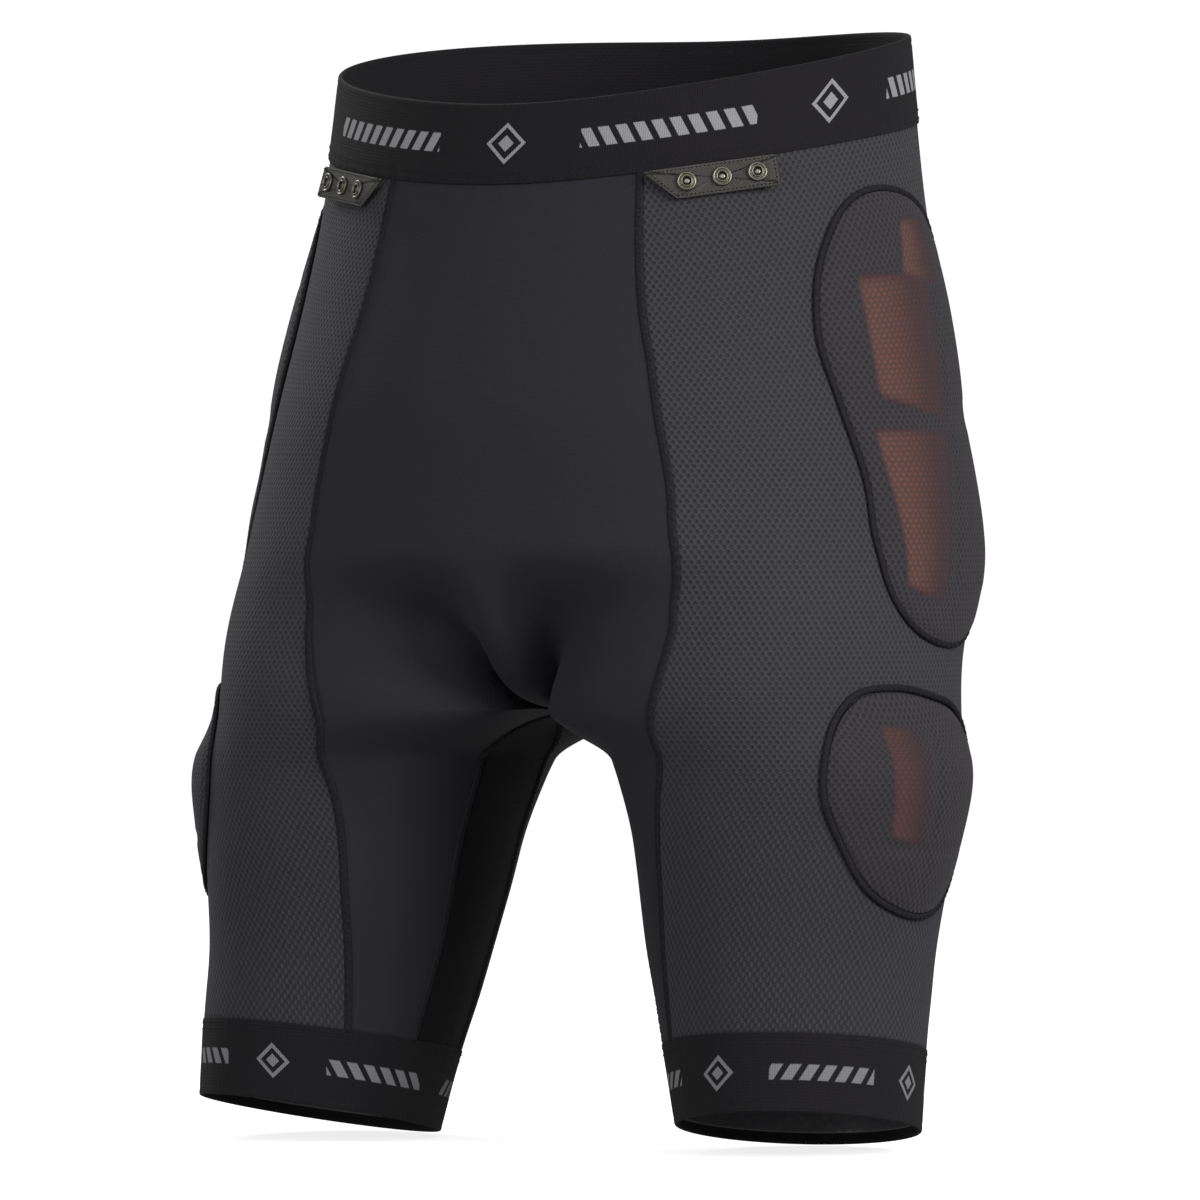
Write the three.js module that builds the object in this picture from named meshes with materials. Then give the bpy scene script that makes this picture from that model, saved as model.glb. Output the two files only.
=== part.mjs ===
// Padded impact shorts: a close-fitting stretch liner with foam pads on the hips and thighs.
// Millimetres, +Z up. The wearer faces -Y, the wearer's left is +X, and the origin is the
// middle of the waist opening. Every cloth piece is a thin closed slab on one body surface,
// addressed by (u, v, off): u runs round half the garment, v is the height above the hems,
// and off is the distance outside the body's cloth.
import * as THREE from 'three';
import { mergeVertices } from 'three/addons/utils/BufferGeometryUtils.js';

// ---- driving dimensions ----
const INSEAM = 195;            // hem to crotch
const RISE = 310;              // crotch to the waist rim
const WAIST_HALF_WIDTH = 144;
const WAIST_HALF_DEPTH = 109;
const HIP_HALF_WIDTH = 186;
const HEM_MIDDLE = 130;        // X of each hem's middle
const HEM_HALF_WIDTH = 56;
const HEM_HALF_DEPTH = 62;
const WAISTBAND_HEIGHT = 41;
const LEG_BAND_HEIGHT = 38;
const CROTCH_BLEND = 80;       // height over which the two legs become one body
const ARCH_HEIGHT = 24;        // height of the arch between the thighs
const SQUARER = 0.5;           // how much squarer a thigh's inner half is at the crotch
const SQUARER_REACH = 40;      // and how far below the arch that begins
const LEAN_ROUND = 55;         // rounds the waist's dip at the middle of the front and back
const FACING = [0.06, 0.15];   // u over which the arch fades round the thigh
const KNIT = 1;                // thickness of the stretch panels
const GAP = 0.3;               // left between pieces that touch
const WAISTBAND_OUT = 1;       // waistband elastic, outside the cloth
const WAISTBAND_IN = 1.4;      // and inside it
const LEG_BAND_OUT = 0.5;
const LEG_BAND_IN = 1.2;
const GRIPPER = 0.7;           // silicone grip strip inside each leg band
const GRIPPER_MARGIN = 5;
const SEAM_WIDTH = 4;
const SEAM_THICKNESS = 0.7;
const HIP_FOAM = 7.5;          // foam thickness at the middle of a pad
const THIGH_FOAM = 5.5;
const FOAM_EDGE = 1;           // foam thickness at its cut edge
const FOAM_INSET = 5;          // from the cover's sewn edge to the foam
const PAD_SEAT = 0.9;          // a pad lies this far off the panel's own surface
const COVER = 0.9;             // mesh cover over a pad
const PIPING_RADIUS = 1.3;
const TAB_LENGTH = 63;
const TAB_HEIGHT = 15;
const TAB_THICKNESS = 1.4;
const TAB_SLANT = 14;          // how far the tab's front end is cut back at its lower corner
const TAB_U = 0.225;           // where the tab's middle sits round the waist
const SNAP_PITCH = 16.8;
const SNAP_SHIFT = 5;          // the middle snap lies this far behind the tab's middle
const SNAP_RADIUS = 4.6;
const SNAP_HEIGHT = 1.7;
const SNAP_BORE = 2.1;
const SNAP_EDGE = 0.8;         // width of the rounded rim of a press stud
const RIVET_RADIUS = 3.9;
const RIVET_HEAD = 0.7;
const RIVET_POST = 1.5;

const TOP = INSEAM + RISE;
const BAND_FOOT = TOP - WAISTBAND_HEIGHT;
const ARCH_FOOT = INSEAM - ARCH_HEIGHT;
const BLEND_TOP = INSEAM + CROTCH_BLEND;

// ---- the body surface ----
// Hips and waist, by share of the rise: half width, reach to the front, reach to the back,
// the Y of the side line, and how square the section is (2 is an ellipse).
const BODY = [
  [0.00, HIP_HALF_WIDTH, 106, 116, -36, 2.7],
  [0.19, 180, 124, 140, -20, 2.5],
  [0.34, 173, 130, 146, -13, 2.3],
  [0.50, 163, 133, 140, -8, 2.2],
  [0.74, 151, 126, 116, 0, 2.1],
  [0.87, 148, 117, 112, 0, 2],
  [1.00, WAIST_HALF_WIDTH, WAIST_HALF_DEPTH, WAIST_HALF_DEPTH, 0, 2],
];
// One leg, by share of the inseam: X of its middle, half width, half depth, Y of its middle,
// and the distance of its inner face from the middle plane.
const LEG = [
  [0.00, HEM_MIDDLE, HEM_HALF_WIDTH, HEM_HALF_DEPTH, -66, HEM_MIDDLE - HEM_HALF_WIDTH],
  [0.17, 127, 59, 65, -62, 66],
  [0.41, 121, 65, 73, -54, 54],
  [0.68, 118, 72, 84, -46, 44],
  [0.84, 115, 77, 90, -41, 37],
  [1.00, 103, 82, 102, -35, 32],
  [1 + CROTCH_BLEND / INSEAM, 98, 83, 107, -33, 32],
];
// How the rows lean, by height: rise per mm towards the back, and per mm outwards.
const LEAN = [
  [0, -0.17, 0.07],
  [100, -0.1, 0.04],
  [INSEAM, 0, 0],
  [INSEAM + 125, 0.03, 0],
  [TOP - 80, 0.13, 0.06],
  [TOP, 0.19, 0.09],
];

// A row of a table at a height, on a smooth curve through its rows.
function rowAt(table, at) {
  const last = table.length - 1;
  const i = Math.min(Math.max(table.findIndex((row) => row[0] > at) - 1, 0), last - 1);
  const k = at >= table[last][0] ? last - 1 : i;
  const [p, q] = [table[k], table[k + 1]];
  const [before, after] = [table[Math.max(k - 1, 0)], table[Math.min(k + 2, last)]];
  const step = q[0] - p[0];
  const t = THREE.MathUtils.clamp((at - p[0]) / step, 0, 1);
  return p.map((value, c) => {
    const m0 = ((q[c] - before[c]) / (q[0] - before[0])) * step;
    const m1 = ((after[c] - p[c]) / (after[0] - p[0])) * step;
    const bend = t * t * (3 - 2 * t);
    return value * (1 - bend) + q[c] * bend + t * (1 - t) * ((1 - t) * m0 - t * m1);
  });
}

const smooth = THREE.MathUtils.smoothstep;
const rounded = (value, power) => Math.sign(value) * Math.abs(value) ** power;

// How the two legs become one body: 1 near the middle plane, and the share of body in a row.
const nearMiddle = (u) => (1 - Math.sin(Math.PI * THREE.MathUtils.clamp(u, 0, 1))) ** 3;

function bodyShare(u, t) {
  const bowl = Math.cbrt(1 - (1 - t) ** 3);
  return THREE.MathUtils.lerp(smooth(t, 0, 1), bowl, nearMiddle(u));
}

// The inner face of a leg is drawn to the middle plane along an arch: steeply where the legs
// face each other, and gently at the front and back of the thigh.
function archShare(u, arch) {
  const facing = 1 - smooth(Math.min(Math.abs(u), 1 - u), ...FACING);
  return THREE.MathUtils.lerp(1 - smooth(arch, 0, 1), Math.sqrt(1 - arch * arch), facing);
}

// A point of one leg, whose inner half grows squarer towards the crotch.
function legPoint(u, v, off) {
  const [, middleX, halfWidth, halfDepth, middleY, innerX] = rowAt(LEG, v / INSEAM);
  const arch = THREE.MathUtils.clamp((v - ARCH_FOOT) / ARCH_HEIGHT, 0, 1);
  const angle = (u - 0.5) * 2 * Math.PI;
  const outer = Math.cos(angle) > 0;
  const reach = outer ? halfWidth + off : middleX - (innerX - off) * archShare(u, arch);
  const power = outer ? 2 : 2 + SQUARER * smooth(v, ARCH_FOOT - SQUARER_REACH, INSEAM);
  const size = (Math.abs(Math.cos(angle)) ** power + Math.abs(Math.sin(angle)) ** power) ** (-1 / power);
  return {
    x: middleX + reach * Math.cos(angle) * size,
    y: middleY + (halfDepth + off) * Math.sin(angle) * size,
    middleX, middleY, arch,
  };
}

// A point of the body's section.
function bodyPoint(u, v, off) {
  const [, sideX, front, back, sideY, square] = rowAt(BODY, Math.max((v - INSEAM) / RISE, 0));
  const angle = (u - 0.5) * Math.PI;
  const depth = angle < 0 ? front + off : back + off;
  return [(sideX + off) * rounded(Math.cos(angle), 2 / square),
    sideY + depth * rounded(Math.sin(angle), 2 / square)];
}

// A point of the wearer's left half. Above the crotch u runs 0, 0.5, 1 from the front middle
// over the side to the back middle; below it u runs once round the leg from the inner line.
function surface(u, v, off) {
  const leg = legPoint(u, v, off);
  const body = bodyPoint(u, v, off);
  const t = THREE.MathUtils.clamp((v - INSEAM) / CROTCH_BLEND, 0, 1);
  const w = bodyShare(u, t);
  const x = leg.x * (1 - w) + body[0] * w;
  const y = leg.y * (1 - w) + body[1] * w;
  const [, backLean, outLean] = rowAt(LEAN, v);
  const lift = v < INSEAM ? leg.arch : 1 - t;
  const out = Math.hypot(x, LEAN_ROUND * w) - leg.middleX;
  const z = v - off * lift - TOP + backLean * (y - leg.middleY * (1 - w)) + outLean * out;
  return new THREE.Vector3(x, y, z);
}

// The u that lies s mm behind the side line at height v, measured along the cloth.
function besideLine(s, v) {
  const steps = 24;
  const probeStep = 0.001;
  let u = 0.5;
  let from = surface(u, v, 0);
  for (let i = 1; i <= steps; i++) {
    const probe = surface(u + probeStep, v, 0);
    u += (s / steps) * probeStep / probe.distanceTo(from);
    from = surface(u, v, 0);
  }
  return u;
}

// The share of u that covers one mm of cloth at (u, v).
function perMillimetre(u, v) {
  const step = 0.002;
  return (2 * step) / surface(u + step, v, 0).distanceTo(surface(u - step, v, 0));
}

// ---- closed slabs out of grids of points ----
const quad = (a, b, c, d) => [a, b, c, a, c, d];
const flip = (points) => points.slice().reverse();
const mirrored = (points) => flip(points.map((p) => new THREE.Vector3(-p.x, p.y, p.z)));

// The strip of quads between two rows of points, facing away from the reader of its order.
function strip(low, high) {
  return low.slice(1).flatMap((p, i) => quad(low[i], p, high[i + 1], high[i]));
}

function faces(rows) {
  return rows.slice(1).flatMap((row, j) => strip(rows[j], row));
}

// A closed slab between an outer and an inner grid. `wallAt(j)` says whether the side wall at
// the first column is there beside row j; a slab that closes on itself round u has no side walls.
function slab(outer, inner, { ring = false, wallAt = () => true } = {}) {
  const last = outer.length - 1;
  const walls = [strip(inner[0], outer[0]), flip(strip(inner[last], outer[last]))];
  if (!ring) {
    const end = outer[0].length - 1;
    for (let j = 0; j < last; j++) {
      if (wallAt(j)) walls.push(quad(inner[j][0], outer[j][0], outer[j + 1][0], inner[j + 1][0]));
      walls.push(quad(outer[j][end], inner[j][end], inner[j + 1][end], outer[j + 1][end]));
    }
  }
  return [...faces(outer), ...flip(faces(inner)), ...walls.flat()];
}

// A cloth panel between two seam lines uFrom(v) and uTo(v), at the heights in rows.
function panel(rows, uFrom, uTo, columns, inside, outside, options) {
  const grid = (off) => rows.map((v) => Array.from({ length: columns + 1 }, (_, i) => (
    surface(THREE.MathUtils.lerp(uFrom(v), uTo(v), i / columns), v, off))));
  return slab(grid(outside), grid(inside), options);
}

// ---- heights of the rows ----
const spread = (from, to, count) => (
  Array.from({ length: count + 1 }, (_, i) => from + (to - from) * (i / count)));
const quarter = (count) => spread(0, Math.PI / 2, count);
const PANEL_FOOT = LEG_BAND_HEIGHT + GAP;
const PANEL_TOP = BAND_FOOT - GAP;
const LEG_ROWS = spread(PANEL_FOOT, ARCH_FOOT, 5);
const ARCH_ROWS = quarter(4).slice(1).map((a) => ARCH_FOOT + ARCH_HEIGHT * Math.sin(a));
const BLEND_ROWS = quarter(5).slice(1).map((a) => INSEAM + CROTCH_BLEND * (1 - Math.cos(a)));
const BODY_ROWS = spread(BLEND_TOP, PANEL_TOP, 6).slice(1);
const THIGH_ROWS = [...LEG_ROWS, ...ARCH_ROWS];
const ALL_ROWS = [...THIGH_ROWS, ...BLEND_ROWS, ...BODY_ROWS];

// ---- seam lines, by height ----
const FRONT_SEAM = [
  [0, 0.118],
  [40, 0.141],
  [73, 0.157],
  [100, 0.168],
  [129, 0.176],
  [152, 0.188],
  [INSEAM - 23, 0.207],
  [INSEAM, 0.23],
  [INSEAM + 18, 0.23],
  [INSEAM + 37, 0.212],
  [INSEAM + 55, 0.183],
  [INSEAM + 76, 0.165],
  [INSEAM + 107, 0.168],
  [INSEAM + 144, 0.165],
  [INSEAM + 171, 0.161],
  [INSEAM + 199, 0.153],
  [INSEAM + 233, 0.149],
  [TOP, 0.15],
];
const INNER_SEAM = 0.053;      // the inner-leg seams, either side of the inner line
const lines = {
  front: (v) => rowAt(FRONT_SEAM, v)[1],
  back: (v) => 1 - rowAt(FRONT_SEAM, v)[1],
};
// The inner-leg seams close on the crotch along the arch.
function innerSeam(v) {
  const arch = THREE.MathUtils.clamp((v - ARCH_FOOT) / ARCH_HEIGHT, 0, 1);
  return INNER_SEAM * (1 - arch ** 2);
}
const half = GAP / 2;
const shifted = (line, mm) => (v) => line(v) + mm * perMillimetre(line(v), v);

// ---- materials ----
const COLOURS = {
  smooth: ['#2f2f35', 0.62, 0],
  mesh: ['#45454a', 0.85, 0],
  band: ['#252427', 0.8, 0],
  thread: ['#1f1d20', 0.8, 0],
  foam: ['#b4552f', 0.9, 0],
  webbing: ['#4c4b45', 0.75, 0],
  metal: ['#8f8d80', 0.35, 1],
  silicone: ['#5b5b60', 0.5, 0],
};
const material = (kind) => new THREE.MeshStandardMaterial({
  color: COLOURS[kind][0], roughness: COLOURS[kind][1], metalness: COLOURS[kind][2],
});

const group = new THREE.Group();

// One closed body out of loose triangles: shared corners are merged and flat slivers dropped.
function solid(points) {
  const geometry = mergeVertices(new THREE.BufferGeometry().setFromPoints(points), 1e-4);
  const index = Array.from(geometry.index.array);
  const kept = [];
  for (let k = 0; k < index.length; k += 3) {
    const [a, b, c] = index.slice(k, k + 3);
    if (a !== b && b !== c && c !== a) kept.push(a, b, c);
  }
  geometry.setIndex(kept);
  geometry.computeVertexNormals();
  return geometry;
}

function add(name, geometry, kind, parent = group) {
  const mesh = new THREE.Mesh(geometry, material(kind));
  mesh.name = name;
  parent.add(mesh);
  return mesh;
}

function addPair(name, points, kind) {
  add(`left_${name}`, solid(points), kind);
  add(`right_${name}`, solid(mirrored(points)), kind);
}

// ---- waistband, leg bands and grip strips ----
const BAND_COLUMNS = 24;

function closedBand(rows, inside, outside, whole) {
  const ring = (v, off) => {
    const left = spread(0, 1, BAND_COLUMNS).map((u) => surface(u, v, off));
    if (!whole) return left;
    const right = left.slice(1, -1).map((p) => new THREE.Vector3(-p.x, p.y, p.z)).reverse();
    return [...left, ...right, left[0]];
  };
  const grid = (off) => rows.map((v) => ring(v, off));
  return slab(grid(outside), grid(inside), { ring: true });
}

add('waistband', solid(closedBand([BAND_FOOT, TOP], -WAISTBAND_IN, WAISTBAND_OUT, true)), 'band');
addPair('leg_band', closedBand([0, LEG_BAND_HEIGHT], -LEG_BAND_IN, LEG_BAND_OUT, false), 'band');
const gripperOut = -LEG_BAND_IN - GAP;
const gripperRows = [GRIPPER_MARGIN, LEG_BAND_HEIGHT - GRIPPER_MARGIN];
addPair('leg_gripper', closedBand(gripperRows, gripperOut - GRIPPER, gripperOut, false), 'silicone');

// ---- stretch panels ----
const HALF_COLUMNS = 8;
const INNER_COLUMNS = 4;
const belowCrotch = (j) => ALL_ROWS[j] < INSEAM;

// Front and back are one piece each, over both thighs: their halves join above the crotch only.
const halfPanel = (edge, seam) => (
  panel(ALL_ROWS, edge, seam, HALF_COLUMNS, -KNIT, 0, { wallAt: belowCrotch }));
const frontHalf = halfPanel(innerSeam, shifted(lines.front, -half));
const backHalf = flip(halfPanel((v) => 1 - innerSeam(v), shifted(lines.back, half)));
add('front_panel', solid([...frontHalf, ...mirrored(frontHalf)]), 'smooth');
add('back_panel', solid([...backHalf, ...mirrored(backHalf)]), 'smooth');

const sideFrom = shifted(lines.front, half);
const sideTo = shifted(lines.back, -half);
addPair('side_panel', panel(ALL_ROWS, sideFrom, sideTo, 2 * HALF_COLUMNS, -KNIT, 0), 'mesh');

const GUSSET_ROWS = THIGH_ROWS.slice(0, -1);
const gussetEdge = (side) => (v) => side * (innerSeam(v) - GAP * perMillimetre(0, v));
const gusset = panel(GUSSET_ROWS, gussetEdge(-1), gussetEdge(1), INNER_COLUMNS, -KNIT, 0);
addPair('inner_leg_panel', gusset, 'smooth');

// ---- flatlock seams, sewn over the panels' edges ----
function seam(rows, line) {
  const edge = SEAM_WIDTH / 2;
  return panel(rows, shifted(line, -edge), shifted(line, edge), 1, GAP, GAP + SEAM_THICKNESS);
}

addPair('front_seam', seam(ALL_ROWS, lines.front), 'thread');
addPair('back_seam', seam(ALL_ROWS, lines.back), 'thread');
const INNER_ROWS = GUSSET_ROWS.slice(0, -1);
addPair('inner_front_seam', seam(INNER_ROWS, innerSeam), 'thread');
addPair('inner_back_seam', seam(INNER_ROWS, (v) => -innerSeam(v)), 'thread');

// ---- pads: foam, its mesh cover and the piping round it ----
// Outlines as points (mm behind the side line, height above the hems), joined by a smooth curve.
const HIP_OUTLINE = [
  [-18, 438], [-44, 433], [-62, 407], [-67, 374], [-60, 342], [-51, 305], [-49, 277], [-38, 252],
  [-14, 234], [22, 228], [52, 238], [62, 268], [59, 300], [55, 330], [57, 365], [46, 401], [18, 426],
];
const THIGH_OUTLINE = [
  [-32, 205], [-56, 202], [-70, 184], [-73, 157], [-60, 131], [-40, 107],
  [-12, 98], [14, 104], [36, 126], [46, 157], [42, 181], [22, 195], [-4, 201],
];
const PAD_COLUMNS = 26;
const FOAM_RINGS = [1, 0.85, 0.6, 0.3, 0];
const domed = (share) => 1 - share ** 3;

function padRings(outline, thickness) {
  const curve = new THREE.CatmullRomCurve3(outline.map(([s, h]) => new THREE.Vector3(s, h, 0)), true);
  const rim = curve.getSpacedPoints(PAD_COLUMNS);
  const centre = outline.reduce((sum, [s, h]) => sum.add(new THREE.Vector3(s, h, 0)), new THREE.Vector3())
    .divideScalar(outline.length);
  const onCloth = (p, off) => surface(besideLine(p.x, p.y), p.y, off);
  const inset = (p, mm) => p.clone().sub(centre).setLength(p.distanceTo(centre) - mm).add(centre);
  const ringAt = (mm, share, off) => (
    rim.map((p) => onCloth(centre.clone().lerp(inset(p, mm), share), off)));
  const top = (share) => PAD_SEAT + FOAM_EDGE + (thickness - FOAM_EDGE) * domed(share);
  return { rim, centre, onCloth, ringAt, top };
}

function foam(pad) {
  const outer = FOAM_RINGS.map((share) => pad.ringAt(FOAM_INSET, share, pad.top(share)));
  const inner = FOAM_RINGS.map((share) => pad.ringAt(FOAM_INSET, share, PAD_SEAT));
  return slab(outer, inner, { ring: true });
}

function cover(pad) {
  const skirt = [0, FOAM_INSET - GAP - COVER];
  const rings = (lift) => [
    pad.ringAt(skirt[0], 1, PAD_SEAT + lift),
    pad.ringAt(skirt[1], 1, PAD_SEAT + FOAM_EDGE + 2 * GAP + lift),
    ...FOAM_RINGS.slice(1).map((share) => pad.ringAt(FOAM_INSET, share, pad.top(share) + 2 * GAP + lift)),
  ];
  return slab(rings(COVER), rings(0), { ring: true });
}

function piping(pad) {
  const away = PIPING_RADIUS + GAP;
  const sides = 6;
  const rings = spread(0, 2 * Math.PI, sides).map((turn) => pad.rim.map((p) => {
    const out = p.clone().sub(pad.centre).setLength(away + PIPING_RADIUS * Math.cos(turn));
    return pad.onCloth(p.clone().add(out), PAD_SEAT + PIPING_RADIUS * (1 + Math.sin(turn)));
  }));
  rings[sides] = rings[0];
  return faces(rings);
}

const PADS = { hip: [HIP_OUTLINE, HIP_FOAM], thigh: [THIGH_OUTLINE, THIGH_FOAM] };
for (const [place, [outline, thickness]] of Object.entries(PADS)) {
  const pad = padRings(outline, thickness);
  addPair(`${place}_foam`, foam(pad), 'foam');
  addPair(`${place}_cover`, cover(pad), 'mesh');
  addPair(`${place}_piping`, piping(pad), 'thread');
}

// ---- snap tabs on the waistband's lower seam ----
const TAB_DROP = GAP + TAB_HEIGHT / 2;
const TAB_STAND = RIVET_HEAD + 3 * GAP;   // from the cloth to the tab's inner face

// The tab's own frame: X along the waist towards the back, Y up, Z away from the wearer.
function tabFrame(side) {
  const v = BAND_FOOT - TAB_DROP;
  const at = surface(TAB_U, v, 0);
  const along = surface(TAB_U + 0.01, v, 0).sub(surface(TAB_U - 0.01, v, 0)).normalize();
  const up = surface(TAB_U, v + 2, 0).sub(surface(TAB_U, v - 2, 0));
  const out = along.clone().cross(up).normalize();
  up.crossVectors(out, along);
  at.addScaledVector(out, TAB_STAND);
  const matrix = new THREE.Matrix4().makeBasis(along, up, out).setPosition(at);
  if (side > 0) return matrix;
  const mirror = new THREE.Matrix4().makeScale(-1, 1, 1);
  return mirror.clone().multiply(matrix).multiply(mirror);
}

const snapPlaces = [-1, 0, 1].map((k) => SNAP_SHIFT + k * SNAP_PITCH);

function tabPlate(side) {
  const [x, y] = [TAB_LENGTH / 2, TAB_HEIGHT / 2];
  const outline = new THREE.Shape([[-x, y], [-x + TAB_SLANT, -y], [x, -y], [x, y]]
    .map(([px, py]) => new THREE.Vector2(side * px, py)));
  for (const place of snapPlaces) {
    const hole = new THREE.Path().absarc(side * place, 0, RIVET_POST + GAP, 0, 2 * Math.PI);
    outline.holes.push(hole);
  }
  const options = { depth: TAB_THICKNESS, bevelEnabled: false, curveSegments: 5 };
  return new THREE.ExtrudeGeometry(outline, options);
}

// A turned piece from its half section of (radius, height) points.
function turned(section, segments) {
  const lathe = new THREE.LatheGeometry(section.map(([r, z]) => new THREE.Vector2(r, z)), segments);
  lathe.deleteAttribute('uv');
  lathe.deleteAttribute('normal');
  return lathe.rotateX(Math.PI / 2);
}

const loose = (geometry) => {
  const flat = geometry.index ? geometry.toNonIndexed() : geometry;
  const points = flat.getAttribute('position');
  return Array.from({ length: points.count }, (_, i) => new THREE.Vector3().fromBufferAttribute(points, i));
};

const SOCKET = [
  [SNAP_BORE, 0], [SNAP_RADIUS, 0], [SNAP_RADIUS, SNAP_HEIGHT / 2], [SNAP_RADIUS - SNAP_EDGE, SNAP_HEIGHT],
  [SNAP_BORE, SNAP_HEIGHT], [SNAP_BORE, 0],
];
const POST_TOP = TAB_THICKNESS + GAP + SNAP_HEIGHT * 0.6;
const RIVET = [
  [0, -GAP - RIVET_HEAD], [RIVET_RADIUS, -GAP - RIVET_HEAD], [RIVET_RADIUS, -GAP], [RIVET_POST, -GAP],
  [RIVET_POST, POST_TOP], [0, POST_TOP],
];
const SEGMENTS = 12;

for (const [name, side] of [['left', 1], ['right', -1]]) {
  const hinge = new THREE.Group();
  hinge.applyMatrix4(tabFrame(side));
  group.add(hinge);
  add(`${name}_snap_tab`, solid(loose(tabPlate(side))), 'webbing', hinge);
  snapPlaces.forEach((place, k) => {
    const stud = (kind, section, height) => {
      const piece = solid(loose(turned(section, SEGMENTS)));
      add(`${name}_snap_${kind}_${k + 1}`, piece, 'metal', hinge).position.set(side * place, 0, height);
    };
    stud('socket', SOCKET, TAB_THICKNESS + GAP);
    stud('rivet', RIVET, 0);
  });
}

export default group;
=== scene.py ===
# %% [markdown]
# # Padded impact shorts
# A close-fitting stretch liner with foam pads at the hips and outer thighs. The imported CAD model
# is the fixed frame: it says where every piece is, how big it is, and which body it moves with.
# Here each plain solid is replaced by a finely made piece in the same place.

# %% Load the frame
import math

import bmesh
import bpy
import numpy as np
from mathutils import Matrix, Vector


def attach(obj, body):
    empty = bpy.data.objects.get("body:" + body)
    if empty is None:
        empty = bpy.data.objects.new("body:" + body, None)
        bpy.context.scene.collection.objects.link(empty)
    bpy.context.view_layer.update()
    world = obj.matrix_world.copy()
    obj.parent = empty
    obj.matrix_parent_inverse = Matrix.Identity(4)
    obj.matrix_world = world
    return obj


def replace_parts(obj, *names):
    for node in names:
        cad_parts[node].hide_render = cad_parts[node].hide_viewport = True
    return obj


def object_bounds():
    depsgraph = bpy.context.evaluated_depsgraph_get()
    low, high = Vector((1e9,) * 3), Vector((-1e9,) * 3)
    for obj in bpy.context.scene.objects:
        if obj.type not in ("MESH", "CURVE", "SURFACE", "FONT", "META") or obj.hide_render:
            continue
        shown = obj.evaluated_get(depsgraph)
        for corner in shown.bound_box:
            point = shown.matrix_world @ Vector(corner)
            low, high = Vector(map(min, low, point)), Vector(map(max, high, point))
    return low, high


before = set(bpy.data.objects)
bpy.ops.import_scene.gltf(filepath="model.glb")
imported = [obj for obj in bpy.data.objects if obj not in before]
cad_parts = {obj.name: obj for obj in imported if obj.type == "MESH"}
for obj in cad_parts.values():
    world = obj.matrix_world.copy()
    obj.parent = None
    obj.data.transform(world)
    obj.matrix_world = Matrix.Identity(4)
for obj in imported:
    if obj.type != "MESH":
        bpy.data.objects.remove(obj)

CAD_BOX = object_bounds()
print("CAD box:", CAD_BOX)

# %% [markdown]
# ## The body surface
# A stretch garment has no shape of its own: it takes the wearer's. So every cloth piece lies on
# one surface, addressed by (u, v, off). u runs round half the garment, v is the height above the
# hems in millimetres, and off is the distance outside the cloth. Modelling each panel by hand
# would leave gaps at the seams; one shared formula can't. It is the CAD model's own surface, but
# for fine creases and a softer turn at the crotch, which stay inside the CAD model's box.

# %% Sizes of the garment, in millimetres
INSEAM, RISE = 195, 310
TOP = INSEAM + RISE
WAISTBAND_HEIGHT, LEG_BAND_HEIGHT = 41, 38
BAND_FOOT = TOP - WAISTBAND_HEIGHT
CROTCH_BLEND = 80                  # height over which the two legs become one body
ARCH_HEIGHT = 24                   # height of the arch between the thighs
ARCH_FOOT = INSEAM - ARCH_HEIGHT
SQUARER, SQUARER_REACH = 0.5, 40   # how much squarer a thigh's inner half gets, and from how far
LEAN_ROUND = 55                    # rounds the waist's dip at the middle of the front and back
FACING = (0.02, 0.11)              # u over which the arch fades round the thigh
MIDDLE_SHARPNESS = 10              # how closely the crotch's steep turn keeps to the middle
KNIT, GAP = 1.0, 0.3               # a panel's thickness, and the space between pieces that touch
M = 0.001                          # metres in a millimetre

# By share of the rise: half width, reach to the front, to the back, Y of the side line, squareness.
BODY = np.array([
    [0.00, 186, 106, 116, -36, 2.7],
    [0.19, 180, 124, 140, -20, 2.5],
    [0.34, 173, 130, 146, -13, 2.3],
    [0.50, 163, 133, 140, -8, 2.2],
    [0.74, 151, 126, 116, 0, 2.1],
    [0.87, 148, 117, 112, 0, 2.0],
    [1.00, 144, 109, 109, 0, 2.0],
])
# By share of the inseam: X of the middle, half width, half depth, Y of the middle, inner X.
LEG = np.array([
    [0.00, 130, 56, 62, -66, 74],
    [0.17, 127, 59, 65, -62, 66],
    [0.41, 121, 65, 73, -54, 54],
    [0.68, 118, 72, 84, -46, 44],
    [0.84, 115, 77, 90, -41, 37],
    [1.00, 103, 82, 102, -35, 32],
    [1 + CROTCH_BLEND / INSEAM, 98, 83, 107, -33, 32],
])
# By height: how much a row rises per millimetre towards the back, and outwards.
LEAN = np.array([
    [0, -0.17, 0.07],
    [100, -0.1, 0.04],
    [INSEAM, 0, 0],
    [INSEAM + 125, 0.03, 0],
    [TOP - 80, 0.13, 0.06],
    [TOP, 0.19, 0.09],
])
# By height: the u of the front seam; the back seam mirrors it.
FRONT_SEAM = np.array([
    [0, 0.118],
    [40, 0.141],
    [73, 0.157],
    [100, 0.168],
    [129, 0.176],
    [152, 0.188],
    [INSEAM - 23, 0.207],
    [INSEAM, 0.23],
    [INSEAM + 18, 0.23],
    [INSEAM + 37, 0.212],
    [INSEAM + 55, 0.183],
    [INSEAM + 76, 0.165],
    [INSEAM + 107, 0.168],
    [INSEAM + 144, 0.165],
    [INSEAM + 171, 0.161],
    [INSEAM + 199, 0.153],
    [INSEAM + 233, 0.149],
    [TOP, 0.15],
])
INNER_SEAM = 0.053                 # the u of the inner-leg seam below the arch
HALF_GIRTH = 420                   # mm of cloth that the creases reckon for each half
RAY_RISE, KNEE_RISE, HIP_RISE, GATHER_RISE = 0.55, 0.5, 0.3, 0.14
GATHERS = 40                       # round each half, beside the elastic
SMALL_U = 0.002                    # the step of u for slopes

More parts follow.
